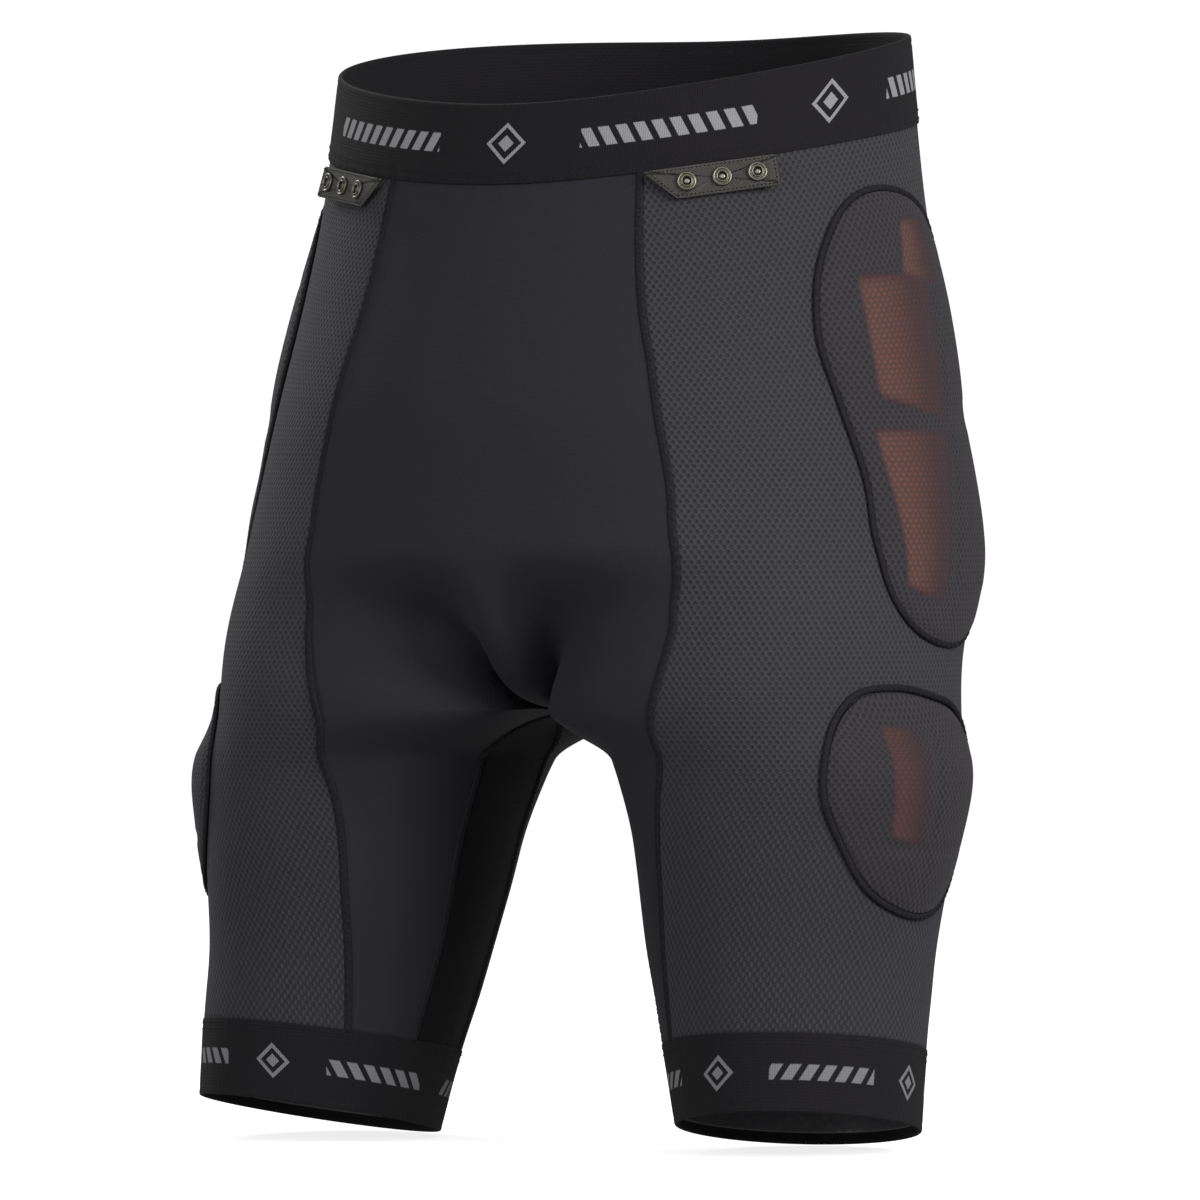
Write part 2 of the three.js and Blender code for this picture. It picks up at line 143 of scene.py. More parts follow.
# %% The surface as one function of whole arrays
def row_at(table, at):
    """A table's row at a height: a cubic through its rows, with slopes from their neighbours."""
    at = np.asarray(at, float)
    last = len(table) - 1
    k = np.clip(np.searchsorted(table[:, 0], at, side="right") - 1, 0, last - 1)
    p, q = table[k], table[k + 1]
    before, after = table[np.maximum(k - 1, 0)], table[np.minimum(k + 2, last)]
    step = (q[..., 0] - p[..., 0])[..., None]
    t = np.clip((at - p[..., 0])[..., None] / step, 0, 1)
    m0 = (q - before) / (q[..., 0] - before[..., 0])[..., None] * step
    m1 = (after - p) / (after[..., 0] - p[..., 0])[..., None] * step
    bend = t * t * (3 - 2 * t)
    return p * (1 - bend) + q * bend + t * (1 - t) * ((1 - t) * m0 - t * m1)


def smooth(x, low, high):
    """0 below low, 1 above high, and a smooth step between them."""
    t = np.clip((np.asarray(x, float) - low) / (high - low), 0, 1)
    return t * t * (3 - 2 * t)


def relief(u, v):
    """Soft creases of the cloth in mm, added to off: rays out of the crotch, folds above the knee,
    slack over the hip, and gathers beside the elastic. All of them close round the leg."""
    turn = 2 * np.pi * u
    side = 0.5 - np.abs(np.mod(u, 1) - 0.5)
    across, above = side * HALF_GIRTH, v - INSEAM
    rays = RAY_RISE * np.exp(-((across - 28) / 22) ** 2 - ((above + 4) / 14) ** 2)
    rays *= np.sin((above + 0.4 * across) / 2.3) * smooth(side, 0, 0.02)
    wave = v / 15 + 1.5 * np.sin(turn + 0.4) + 0.6 * np.sin(3 * turn)
    knee = KNEE_RISE * np.sin(wave) * smooth(v, 45, 75) * (1 - smooth(v, 105, 150))
    knee *= 0.55 + 0.45 * np.sin(2 * turn + v / 40)
    hip = HIP_RISE * np.sin(v / 26 + np.sin(turn) + 0.8 * np.sin(3 * turn))
    hip *= smooth(v, 215, 260) * (1 - smooth(v, 330, 400))
    near_band = np.exp(-np.abs(BAND_FOOT - v) / 12) + np.exp(-np.abs(v - LEG_BAND_HEIGHT) / 8)
    return rays + knee + hip + GATHER_RISE * np.sin(GATHERS * turn) * near_band


def surface(u, v, off, creased=True):
    """Points in metres of the wearer's left half. Up to the crotch each row is an ellipse round
    one leg, its inner face drawn into an arch. Above it, over CROTCH_BLEND, the row passes from
    that leg to a squarish oval round the body: steeply at the middle, gently elsewhere."""
    u, v, off = np.broadcast_arrays(*(np.asarray(a, float) for a in (u, v, off)))
    if creased:
        off = off + relief(u, v)
    leg = row_at(LEG, v / INSEAM)
    mid_x, half_width, half_depth, mid_y, inner_x = (leg[..., i] for i in range(1, 6))
    arch = np.clip((v - ARCH_FOOT) / ARCH_HEIGHT, 0, 1)
    turn = (u - 0.5) * 2 * np.pi
    near_middle = (1 - np.sin(np.pi * np.clip(u, 0, 1))) ** MIDDLE_SHARPNESS
    inside = 1 - smooth(np.minimum(np.abs(u), 1 - u), *FACING)
    drawn = inside * np.sqrt(1 - arch * arch) + (1 - inside) * (1 - arch * arch * (3 - 2 * arch))
    reach = np.where(np.cos(turn) > 0, half_width + off, mid_x - (inner_x - off) * drawn)
    squarer = np.where(np.cos(turn) < 0, SQUARER, 0)
    square = 2 + squarer * smooth(v, ARCH_FOOT - SQUARER_REACH, INSEAM)
    size = (np.abs(np.cos(turn)) ** square + np.abs(np.sin(turn)) ** square) ** (-1 / square)
    leg_x = mid_x + reach * np.cos(turn) * size
    leg_y = mid_y + (half_depth + off) * np.sin(turn) * size

    body = row_at(BODY, np.maximum((v - INSEAM) / RISE, 0))
    side_x, front, back, side_y, square = (body[..., i] for i in range(1, 6))
    turn = (u - 0.5) * np.pi
    c, s = np.cos(turn), np.sin(turn)
    body_x = (side_x + off) * np.sign(c) * np.abs(c) ** (2 / square)
    depth = np.where(turn < 0, front, back) + off
    body_y = side_y + depth * np.sign(s) * np.abs(s) ** (2 / square)

    t = np.clip((v - INSEAM) / CROTCH_BLEND, 0, 1)
    w = (t * t * (3 - 2 * t)) * (1 - near_middle) + np.cbrt(1 - (1 - t) ** 3) * near_middle
    x, y = leg_x * (1 - w) + body_x * w, leg_y * (1 - w) + body_y * w
    lean = row_at(LEAN, v)
    lift = np.where(v < INSEAM, arch, 1 - t)
    wide = np.hypot(x, LEAN_ROUND * w)
    z = v - off * lift - TOP + lean[..., 1] * (y - mid_y * (1 - w)) + lean[..., 2] * (wide - mid_x)
    return np.stack([x, y, z], -1) * M


def per_mm(u, v):
    """The change of u that covers one millimetre of cloth."""
    gap = surface(u + SMALL_U, v, 0, False) - surface(u - SMALL_U, v, 0, False)
    return 2 * SMALL_U / (np.linalg.norm(gap, axis=-1) / M)


def outward(u, v, off=0.0):
    """The unit normal of the surface: along the row, crossed with up the row."""
    along = surface(u + SMALL_U, v, off) - surface(u - SMALL_U, v, off)
    up = surface(u, v + 1, off) - surface(u, v - 1, off)
    n = np.cross(along, up)
    return n / np.maximum(np.linalg.norm(n, axis=-1, keepdims=True), 1e-12)


def beside_line(s, v):
    """The u that lies s millimetres behind the side line, stepping along the cloth."""
    s, v = np.broadcast_arrays(np.asarray(s, float), np.asarray(v, float))
    u = np.full(s.shape, 0.5)
    steps = 30
    for _ in range(steps):
        u = u + s / steps * per_mm(u, v)
    return u


def arc_from_side(u, v):
    """How far round the cloth u lies from the side line, in mm; behind it is positive."""
    u, v = np.broadcast_arrays(np.asarray(u, float), np.asarray(v, float))
    between = np.linspace(0, 1, 17)
    points = surface(0.5 + (u - 0.5)[..., None] * between, v[..., None], 0, False)
    length = np.linalg.norm(np.diff(points, axis=-2), axis=-1).sum(-1) / M
    return length * np.sign(u - 0.5)


print("waist girth", round(4 * float(abs(arc_from_side(0.0, TOP - 1.0))) / 10), "cm")

# %% [markdown]
# ## From grids of points to closed meshes
# Each cloth piece is a slab: an outer grid, an inner grid a little inside it, and walls round
# the edge. The cloth's own coordinates, (distance round, height, is it the outside), go along as
# a point attribute, so that a woven pattern follows the cloth wherever it bends.

# %% Mesh helpers
def lattice(rows, columns, start=0):
    """Quads over a grid of vertices, facing out where rows go up and columns go right."""
    i = np.arange(rows * columns).reshape(rows, columns) + start
    return np.stack([i[:-1, :-1], i[:-1, 1:], i[1:, 1:], i[1:, :-1]], -1).reshape(-1, 4)


def slab(outer, inner, ring=False, wall=None):
    """Vertices and quads of a closed slab. `wall` marks the rows whose first column has a wall."""
    rows, columns = outer.shape[:2]
    size = rows * columns
    i = np.arange(size).reshape(rows, columns)
    j = i + size
    quads = [lattice(rows, columns), lattice(rows, columns, size)[:, ::-1]]
    for a, b in ((j[0], i[0]), (i[-1], j[-1])):
        quads.append(np.stack([a[:-1], a[1:], b[1:], b[:-1]], -1))
    if not ring:
        first = np.stack([j[:-1, 0], i[:-1, 0], i[1:, 0], j[1:, 0]], -1)
        quads.append(first if wall is None else first[wall])
        quads.append(np.stack([i[:-1, -1], j[:-1, -1], j[1:, -1], i[1:, -1]], -1))
    return np.concatenate([outer.reshape(-1, 3), inner.reshape(-1, 3)]), np.concatenate(quads)


def mirrored(vertices, quads):
    return vertices * np.array([-1.0, 1, 1]), quads[:, ::-1]


def make(name, vertices, faces, material, cloth=None, glow=None, turn=True):
    """A mesh object from arrays, its doubles merged and its faces turned outwards."""
    mesh = bpy.data.meshes.new(name)
    mesh.from_pydata(vertices.tolist(), [], faces if isinstance(faces, list) else faces.tolist())
    if cloth is not None:
        layer = mesh.attributes.new("cloth", "FLOAT_VECTOR", "POINT")
        layer.data.foreach_set("vector", np.asarray(cloth, np.float32).ravel())
    if glow is not None:
        layer = mesh.attributes.new("glow", "FLOAT", "POINT")
        layer.data.foreach_set("value", np.asarray(glow, np.float32).ravel())
    work = bmesh.new()
    work.from_mesh(mesh)
    bmesh.ops.remove_doubles(work, verts=work.verts, dist=2e-6)
    if turn:
        bmesh.ops.recalc_face_normals(work, faces=work.faces)
    work.to_mesh(mesh)
    work.free()
    mesh.polygons.foreach_set("use_smooth", np.ones(len(mesh.polygons), bool))
    obj = bpy.data.objects.new(name, mesh)
    bpy.context.scene.collection.objects.link(obj)
    mesh.materials.append(material)
    return obj


def swept(path, up, profile, closed=False):
    """A closed profile of (across, up) points in mm, carried along a path with an up direction at
    each point. Across is the path's own direction crossed with up."""
    ahead = np.roll(path, -1, 0) - np.roll(path, 1, 0)
    if not closed:
        ahead[0], ahead[-1] = path[1] - path[0], path[-1] - path[-2]
    across = np.cross(ahead, up)
    across /= np.linalg.norm(across, axis=1, keepdims=True)
    profile = np.asarray(profile, float) * M
    points = (path[:, None] + across[:, None] * profile[None, :, :1]
              + up[:, None] * profile[None, :, 1:])
    n, k = points.shape[:2]
    i = np.arange(n * k).reshape(n, k)
    i = np.concatenate([i, i[:, :1]], 1)
    if closed:
        i = np.concatenate([i, i[:1]], 0)
    quads = np.stack([i[:-1, :-1], i[:-1, 1:], i[1:, 1:], i[1:, :-1]], -1).reshape(-1, 4)
    faces = quads.tolist()
    if not closed:
        faces += [list(range(k))[::-1], list(range((n - 1) * k, n * k))]
    return points.reshape(-1, 3), faces


def both_sides(name, vertices, faces, material, body="shorts", **extra):
    """The left piece and its mirror image, as separate objects."""
    made = []
    for side, sign in (("left", 1), ("right", -1)):
        flip = vertices * np.array([sign, 1.0, 1.0])
        obj = make(f"{side}_fine_{name}", flip, faces, material, **extra)
        made.append(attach(obj, body if body == "shorts" else f"{side}_{body}"))
    return made


def circle(radius, sides):
    turn = np.linspace(0, 2 * np.pi, sides, endpoint=False)
    return np.stack([radius * np.cos(turn), radius * np.sin(turn)], -1)

# %% [markdown]
# ## Writing materials as formulas
# A material is a small graph of nodes. Wiring each node by hand hides the idea, so one class
# wraps a socket and turns +, -, *, / into Math nodes. A weave then reads like its formula.

# %% A socket that can do arithmetic
class Signal:
    """A number, vector or colour inside a material's node tree."""

    def __init__(self, tree, socket=None):
        self.tree, self.socket = tree, socket

    def node(self, kind, settings=None, values=None, out=0):
        """Any node: its settings first, then the values or links of its sockets."""
        made = self.tree.nodes.new(kind)
        for key, value in (settings or {}).items():
            if key == "stops":
                for stop, (place, colour) in zip(made.color_ramp.elements, value):
                    stop.position, stop.color = place, colour
            else:
                setattr(made, key, value)
        pairs = values.items() if isinstance(values, dict) else enumerate(values or ())
        for key, value in pairs:
            if isinstance(value, Signal):
                self.tree.links.new(value.socket, made.inputs[key])
            else:
                made.inputs[key].default_value = value
        return Signal(self.tree, made.outputs[out])

    def math(self, operation, *values):
        return self.node("ShaderNodeMath", {"operation": operation}, values)

    def __add__(self, other):
        return self.math("ADD", self, other)

    def __sub__(self, other):
        return self.math("SUBTRACT", self, other)

    def __rsub__(self, other):
        return self.math("SUBTRACT", other, self)

    def __mul__(self, other):
        return self.math("MULTIPLY", self, other)

    def __truediv__(self, other):
        return self.math("DIVIDE", self, other)

    __radd__, __rmul__ = __add__, __mul__

    def sin(self):
        return self.math("SINE", self)

    def abs(self):
        return self.math("ABSOLUTE", self)

    def repeat(self, pitch):
        """The signed distance from the middle of the nearest repeat."""
        return self - pitch * self.math("ROUND", self / pitch)

    def at_least(self, other):
        return self.math("MAXIMUM", self, other)

    def ease(self, low, high):
        """0 at low, 1 at high, smooth between; low may be the larger."""
        return self.node("ShaderNodeMapRange", {"interpolation_type": "SMOOTHSTEP"},
                         (self, low, high, 0.0, 1.0))

    def mix(self, first, second):
        """The first colour where this is 0, the second where it is 1."""
        return self.node("ShaderNodeMix", {"data_type": "RGBA"},
                         {0: self, 6: first, 7: second}, out=2)


def linear(*srgb):
    """A screen colour of three numbers up to 255, as the linear RGBA that shaders use."""
    c = np.array(srgb) / 255
    return (*np.where(c <= 0.04045, c / 12.92, ((c + 0.055) / 1.055) ** 2.4), 1.0)


def finish(name, build, **constants):
    """A Principled material. `build` gets (start, x, y, outside), where x and y are the cloth's own
    coordinates in metres, and returns the inputs that change over the cloth. Its "height" is
    (height, strength, reach in metres) of the bump."""
    material = bpy.data.materials.new(name)
    material.use_nodes = True
    tree = material.node_tree
    shader = next(n for n in tree.nodes if n.type == "BSDF_PRINCIPLED")
    for key, value in constants.items():
        shader.inputs[key.replace("_", " ")].default_value = value
    start = Signal(tree)
    cloth = start.node("ShaderNodeAttribute", {"attribute_name": "cloth"}, out=1)
    x, y, outside = (start.node("ShaderNodeSeparateXYZ", None, (cloth,), out=i) for i in range(3))
    changing = build(start, x, y, outside)
    height, strength, reach = changing.pop("height")
    changing["Normal"] = start.node("ShaderNodeBump", None, {"Strength": strength,
                                                             "Distance": reach, "Height": height})
    for key, signal in changing.items():
        tree.links.new(signal.socket, shader.inputs[key])
    return material


def noise(start, scale, detail=2.0, rough=0.5):
    """Noise from 0 to 1 on object coordinates, with `scale` bumps per metre."""
    place = start.node("ShaderNodeTexCoord", out=3)
    return start.node("ShaderNodeTexNoise", None,
                      {"Vector": place, "Scale": scale, "Detail": detail, "Roughness": rough})


# %% [markdown]
# ## The finishes
# The liner is warp-knitted nylon and elastane: the plain panels show only fine ribs, and the side
# panels are an open mesh whose holes change shape with height. Elastic bands are woven with a
# rib, and carry light woven marks. Each finish uses the cloth's own coordinates, so its ribs run
# with the garment.

# %% Smooth stretch knit and perforated mesh knit
WHOLE_TURN = 2 * math.pi
CLOTH_INSIDE = linear(34, 33, 36)


def ribs(place, pitch):
    """A wave from -1 to 1 that repeats every `pitch` metres."""
    return (place * (WHOLE_TURN / pitch)).sin()


def plain_knit(dark, light):
    """Fine ribs between two colours."""
    def build(start, x, y, outside):
        wale, course = ribs(x, 0.0007), ribs(y, 0.0009)
        patch = noise(start, 9, 3)
        fleck = noise(start, 900, 1)
        colour = (patch * 0.6 + fleck * 0.4).mix(linear(*dark), linear(*light))
        return {"Base Color": outside.mix(linear(28, 27, 30), colour),
                "Roughness": 0.56 + 0.16 * patch,
                "height": (wale * 0.5 + course * 0.3 + fleck, 0.35, 0.0002)}
    return build


def mesh_height(start, x, y):
    """1 in the yarn and 0 in the holes. The holes stand in staggered rows, so slanted lines of
    them run both ways; lower down they lengthen and join into upright stripes."""
    pitch_x, pitch_y = 0.0034, 0.0048
    low = y.ease(0.20, 0.09)
    row = start.math("ROUND", y * (2 / pitch_y))
    odd = start.math("PINGPONG", row, 1.0)
    hole_x = (x + odd * (pitch_x / 2)).repeat(pitch_x) * (1 / pitch_x)
    hole_y = y.repeat(pitch_y / 2) * (1 - 0.7 * low) * (1.3 / pitch_y)
    away = start.math("SQRT", hole_x * hole_x + hole_y * hole_y)
    slanted = (x * (1 / pitch_x) + y * (1 / pitch_y)) * WHOLE_TURN
    rib = slanted.sin() * (0.5 - 0.5 * low)
    return 1 - away.ease(0.42, 0.16) * (0.8 + 0.2 * rib)


def knit_mesh(start, x, y, outside):
    yarn = mesh_height(start, x, y)
    fleck = noise(start, 700, 2)
    patch = noise(start, 7, 2)
    tone = 0.25 + yarn * 0.5 + 0.3 * (fleck - 0.5) + 0.25 * (patch - 0.5)
    yarn_colour = y.ease(0.26, 0.16).mix(linear(80, 79, 84), linear(76, 76, 82))
    colour = tone.mix(linear(30, 29, 33), yarn_colour)
    return {"Base Color": outside.mix(CLOTH_INSIDE, colour), "Roughness": 0.72 + 0.12 * fleck,
            "height": (yarn + 0.25 * fleck, 0.8, 0.0006)}


smooth_knit = finish("smooth_knit", plain_knit((38, 37, 42), (52, 51, 57)),
                     Sheen_Weight=0.06, Sheen_Roughness=0.4, Specular_IOR_Level=0.2)
# The inner-leg panels get a darker copy of the front's knit: painted shade between the thighs, on
# the same cloth.
inner_knit = finish("inner_knit", plain_knit((17, 17, 19), (26, 25, 28)),
                    Sheen_Weight=0.03, Sheen_Roughness=0.4, Specular_IOR_Level=0.12)
MESH_SHINE = {"Sheen_Weight": 0.08, "Sheen_Roughness": 0.5, "Specular_IOR_Level": 0.15}
mesh_knit = finish("mesh_knit", knit_mesh, **MESH_SHINE)
print("knits:", smooth_knit.name, inner_knit.name, mesh_knit.name)


# %% The cover over the pads, where the foam's colour shows through the holes under a painted highlight
def knit_cover(start, x, y, outside):
    yarn = mesh_height(start, x, y)
    fleck = noise(start, 700, 2)
    glow = start.node("ShaderNodeAttribute", {"attribute_name": "glow"}, out=2)
    tone = 0.25 + yarn * 0.55 + 0.3 * (fleck - 0.5)
    plain = tone.mix(linear(32, 30, 33), linear(72, 69, 74))
    # The foam's orange is its own colour. Its brightening where the mask is high, at a window's
    # front edge, and its dark red lower down are painted highlight and shade.
    behind = glow.mix(linear(70, 42, 48), linear(132, 86, 72))
    seen = tone.mix(behind, glow.mix(linear(60, 50, 54), linear(80, 65, 65)))
    shown = glow.ease(0.0, 0.35)
    return {"Base Color": outside.mix(CLOTH_INSIDE, shown.mix(plain, seen)),
            "Roughness": 0.7 + 0.12 * fleck, "height": (yarn + 0.25 * fleck, 0.8, 0.0006)}


cover_knit = finish("cover_knit", knit_cover, **MESH_SHINE)


# %% Elastic bands with woven marks
MARK_EDGE, DASH_SLANT, DASH_PITCH = 0.0003, 0.55, 0.0085


def elastic(row, pitch, middle, height, ink):
    """A woven rib with rows of slanted dashes of half length `row`, and a hollow lozenge midway
    between two rows. The marks repeat every `pitch` and stand on the line y = middle."""
    def build(start, x, y, outside):
        rib, weft = ribs(x, 0.0011), ribs(y, 0.0016)
        fleck = noise(start, 800, 2)
        up = y - middle
        tall = up.abs().ease(height * 0.5 + MARK_EDGE, height * 0.5 - MARK_EDGE)
        near = (x - pitch / 2).repeat(pitch).abs().ease(row + MARK_EDGE, row - MARK_EDGE)
        dash = (x + up * DASH_SLANT).repeat(DASH_PITCH).abs().ease(0.0029, 0.0024)
        lozenge = x.repeat(pitch).abs() + up.abs()
        size = height * 0.98
        ring = (lozenge - size).abs().ease(0.0014, 0.0010)
        core = lozenge.ease(size * 0.48, size * 0.42)
        mark = ((tall * near * dash).at_least(ring).at_least(core)) * outside
        tone = 0.5 + 0.25 * rib + 0.3 * (fleck - 0.5)
        ground = tone.mix(linear(26, 24, 26), linear(40, 38, 41))
        return {"Base Color": mark.mix(ground, linear(*ink)),
                "Roughness": 0.78 - 0.2 * mark + 0.1 * fleck,
                "height": (0.5 * rib + 0.25 * weft + 0.6 * fleck + mark * 0.8, 0.5, 0.0003)}
    return build


WAIST_MARKS = elastic(0.042, 0.160, (BAND_FOOT + 21) * M, 0.0095, (160, 160, 163))
HEM_MARKS = elastic(0.026, 0.104, 0.019, 0.0075, (138, 138, 141))
BAND_SHINE = {"Sheen_Weight": 0.04, "Sheen_Roughness": 0.5, "Specular_IOR_Level": 0.15}
waist_elastic = finish("waist_elastic", WAIST_MARKS, **BAND_SHINE)
leg_elastic = finish("leg_elastic", HEM_MARKS, **BAND_SHINE)
print("elastics:", waist_elastic.name, leg_elastic.name)


# %% Thread, webbing, foam, silicone and metal
def spun(start, x, y, outside):
    fibre = noise(start, 2600, 2)
    ply = noise(start, 420, 1)
    return {"Base Color": (0.6 * ply + 0.4 * fibre).mix(linear(24, 23, 26), linear(46, 44, 49)),
            "Roughness": 0.62 + 0.2 * fibre, "height": (fibre + ply, 0.6, 0.0003)}


def twill(start, x, y, outside):
    wale, cross = ribs(x + y, 0.0013), ribs(x - y, 0.0006)
    fleck = noise(start, 900, 2)
    worn = noise(start, 160, 3)
    tone = 0.5 + 0.26 * wale + 0.1 * cross + 0.5 * (fleck - 0.5) + 0.4 * (worn - 0.5)
    return {"Base Color": tone.mix(linear(56, 55, 51), linear(100, 98, 91)),
            "Roughness": 0.72 + 0.15 * fleck,
            "height": (wale * 0.7 + cross * 0.3 + fleck, 0.7, 0.0004)}


def foam_cells(start, x, y, outside):
    place = start.node("ShaderNodeTexCoord", out=3)
    bubble = start.node("ShaderNodeTexVoronoi", None, {"Vector": place, "Scale": 900.0})
    patch = noise(start, 40, 2)
    tone = bubble * 0.7 + patch * 0.4
    return {"Base Color": tone.mix(linear(124, 50, 30), linear(206, 108, 62)),
            "Roughness": 0.82 + 0.1 * patch, "height": (bubble + patch, 0.6, 0.0006)}


def rubber(start, x, y, outside):
    haze = noise(start, 300, 2)
    return {"Base Color": haze.mix(linear(70, 70, 74), linear(96, 96, 100)),
            "Roughness": 0.32 + 0.2 * haze, "height": (haze, 0.2, 0.0002)}


def old_brass(start, x, y, outside):
    stain = noise(start, 260, 4, 0.6)
    scratch = noise(start, 1800, 2)
    tone = stain * 0.8 + scratch * 0.3
    return {"Base Color": tone.mix(linear(54, 52, 48), linear(166, 164, 150)),
            "Roughness": 0.18 + 0.28 * stain, "height": (scratch + stain, 0.25, 0.0001)}


thread = finish("thread", spun, Specular_IOR_Level=0.2)
webbing = finish("webbing", twill, Sheen_Weight=0.2, Specular_IOR_Level=0.35)
foam = finish("foam", foam_cells)
silicone = finish("silicone", rubber, Coat_Weight=0.2)
metal = finish("metal", old_brass, Metallic=0.92)
print("finishes:", [m.name for m in bpy.data.materials][-10:])

# %% [markdown]
# ## The stretch panels
# The real front, back, side and inner-leg panels are cut flat and sewn edge to edge with
# flatlock seams. Each is a closed slab one millimetre thick between two seam lines, on a grid
# of about 2.5 mm, fine enough to carry the creases as real shape.

# %% Heights of the rows, and the seam lines
TUCK = 1.2                     # how far a panel's ends are sewn into the bands
PANEL_FOOT, PANEL_TOP = LEG_BAND_HEIGHT - TUCK, BAND_FOOT + TUCK
arc = np.linspace(0, np.pi / 2, 40)[1:]
leg_rows = np.linspace(PANEL_FOOT, ARCH_FOOT, 52)
arch_rows = ARCH_FOOT + ARCH_HEIGHT * np.sin(arc[::2])
blend_rows = INSEAM + CROTCH_BLEND * (1 - np.cos(arc))
body_rows = np.linspace(INSEAM + CROTCH_BLEND, PANEL_TOP, 78)[1:]
THIGH_ROWS = np.concatenate([leg_rows, arch_rows])
THIGH_ROWS[-1] = INSEAM
ALL_ROWS = np.concatenate([THIGH_ROWS, blend_rows, body_rows])


def front_line(v):
    return row_at(FRONT_SEAM, v)[..., 1]


def back_line(v):
    return 1 - front_line(v)


def inner_line(v):
    """The inner-leg seam, which closes on the crotch along the arch."""
    arch = np.clip((v - ARCH_FOOT) / ARCH_HEIGHT, 0, 1)
    return INNER_SEAM * (1 - arch ** 2)


def moved(u, v, mm):
    """The u that lies mm further round the cloth."""
    return u + mm * per_mm(u, v)


# %% Sew the panels
def cloth_at(u, v, outside, origin=0.5):
    """The cloth's own coordinates: metres round from the line u = origin, metres up, and 1 on the
    outside."""
    x = arc_from_side(u, v) if origin == 0.5 else (u - origin) / per_mm(u, v)
    return np.stack([x * M, v * M, np.full(np.shape(x), outside)], -1)


def panel(left, right, heights, columns, origin=0.5, wall=None):
    """A slab between two seam lines, given as the u of each row."""
    share = np.linspace(0, 1, columns + 1)
    u = left[:, None] * (1 - share) + right[:, None] * share
    v = np.broadcast_to(heights[:, None], u.shape)
    vertices, quads = slab(surface(u, v, 0), surface(u, v, -KNIT), wall=wall)
    cloth = np.concatenate([cloth_at(u, v, side, origin).reshape(-1, 3) for side in (1.0, 0.0)])
    return vertices, quads, cloth


def whole_panel(name, line, edge, columns):
    """The front or back: a left half and its mirror image, joined above the crotch."""
    left = edge(ALL_ROWS)
    right = moved(line(ALL_ROWS), ALL_ROWS, -GAP / 2 if line is front_line else GAP / 2)
    below = ALL_ROWS[:-1] < INSEAM - 1e-6
    vertices, quads, cloth = panel(left, right, ALL_ROWS, columns, wall=below)
    vertices[np.abs(vertices[:, 0]) < 1e-7, 0] = 0
    flipped, backwards = mirrored(vertices, quads)
    piece = make(f"fine_{name}", np.concatenate([vertices, flipped]),
                 np.concatenate([quads, backwards + len(vertices)]),
                 smooth_knit, np.concatenate([cloth, cloth]))
    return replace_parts(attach(piece, "shorts"), name)


front_panel = whole_panel("front_panel", front_line, inner_line, 30)
back_panel = whole_panel("back_panel", back_line, lambda v: 1 - inner_line(v), 30)

side_from = moved(front_line(ALL_ROWS), ALL_ROWS, GAP / 2)
side_to = moved(back_line(ALL_ROWS), ALL_ROWS, -GAP / 2)
vertices, quads, cloth = panel(side_from, side_to, ALL_ROWS, 84)
side_panels = both_sides("side_panel", vertices, quads, mesh_knit, cloth=cloth)

LEAST_U = 0.0004               # the inner panel's half width where it ends in a point
inner_rows = THIGH_ROWS[:-1]
inner_edge = inner_line(inner_rows) - GAP * per_mm(0 * inner_rows, inner_rows)
inner_edge = np.maximum(inner_edge, LEAST_U)
vertices, quads, cloth = panel(-inner_edge, inner_edge, inner_rows, 14, origin=0)
inner_panels = both_sides("inner_leg_panel", vertices, quads, inner_knit, cloth=cloth)


# %% Hide the CAD parts that each panel replaces
def stand_for(pieces, node):
    for piece in pieces:
        side = piece.name.split("_")[0]
        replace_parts(piece, f"{side}_{node}")
    return pieces


def area_of(piece):
    """Half the closed mesh's surface: the area of the cloth in square metres."""
    return sum(p.area for p in piece.data.polygons) / 2


stand_for(side_panels, "side_panel")
stand_for(inner_panels, "inner_leg_panel")
for piece in (front_panel, back_panel, side_panels[0], inner_panels[0]):
    size = [round(d, 3) for d in piece.dimensions]
    print(piece.name, "cloth", round(area_of(piece), 4), "m2, size", size)

# %% [markdown]
# ## Elastic bands
# The waistband is one ring of wide woven elastic, and each hem has a narrower ring. An elastic
# has two faces and soft selvedges, so each is a closed profile, a rounded bar in section, carried
# round the body on the same surface.

# %% Carry a profile round the garment
def bar(v_low, v_high, off_in, off_out, step, ribs=0.0):
    """A closed section of (v, off): flat faces, half-round edges, and lines `ribs` mm deep beside
    them."""
    radius = (off_out - off_in) / 2
    up = np.linspace(v_low + radius, v_high - radius, max(int((v_high - v_low) / step), 3))
    turn = np.linspace(0, np.pi, 7)[1:-1]
    line = np.exp(-((up - v_low - 4) / 0.7) ** 2) + np.exp(-((v_high - 4 - up) / 0.7) ** 2)
    line = ribs * line
    v = np.concatenate([up, v_high - radius + radius * np.sin(turn),
                        up[::-1], v_low + radius - radius * np.sin(turn)])
    middle = (off_in + off_out) / 2
    off = np.concatenate([off_out - line, middle + radius * np.cos(turn), off_in + line[::-1],
                          middle - radius * np.cos(turn)])
    return v, off, (off > middle).astype(float)


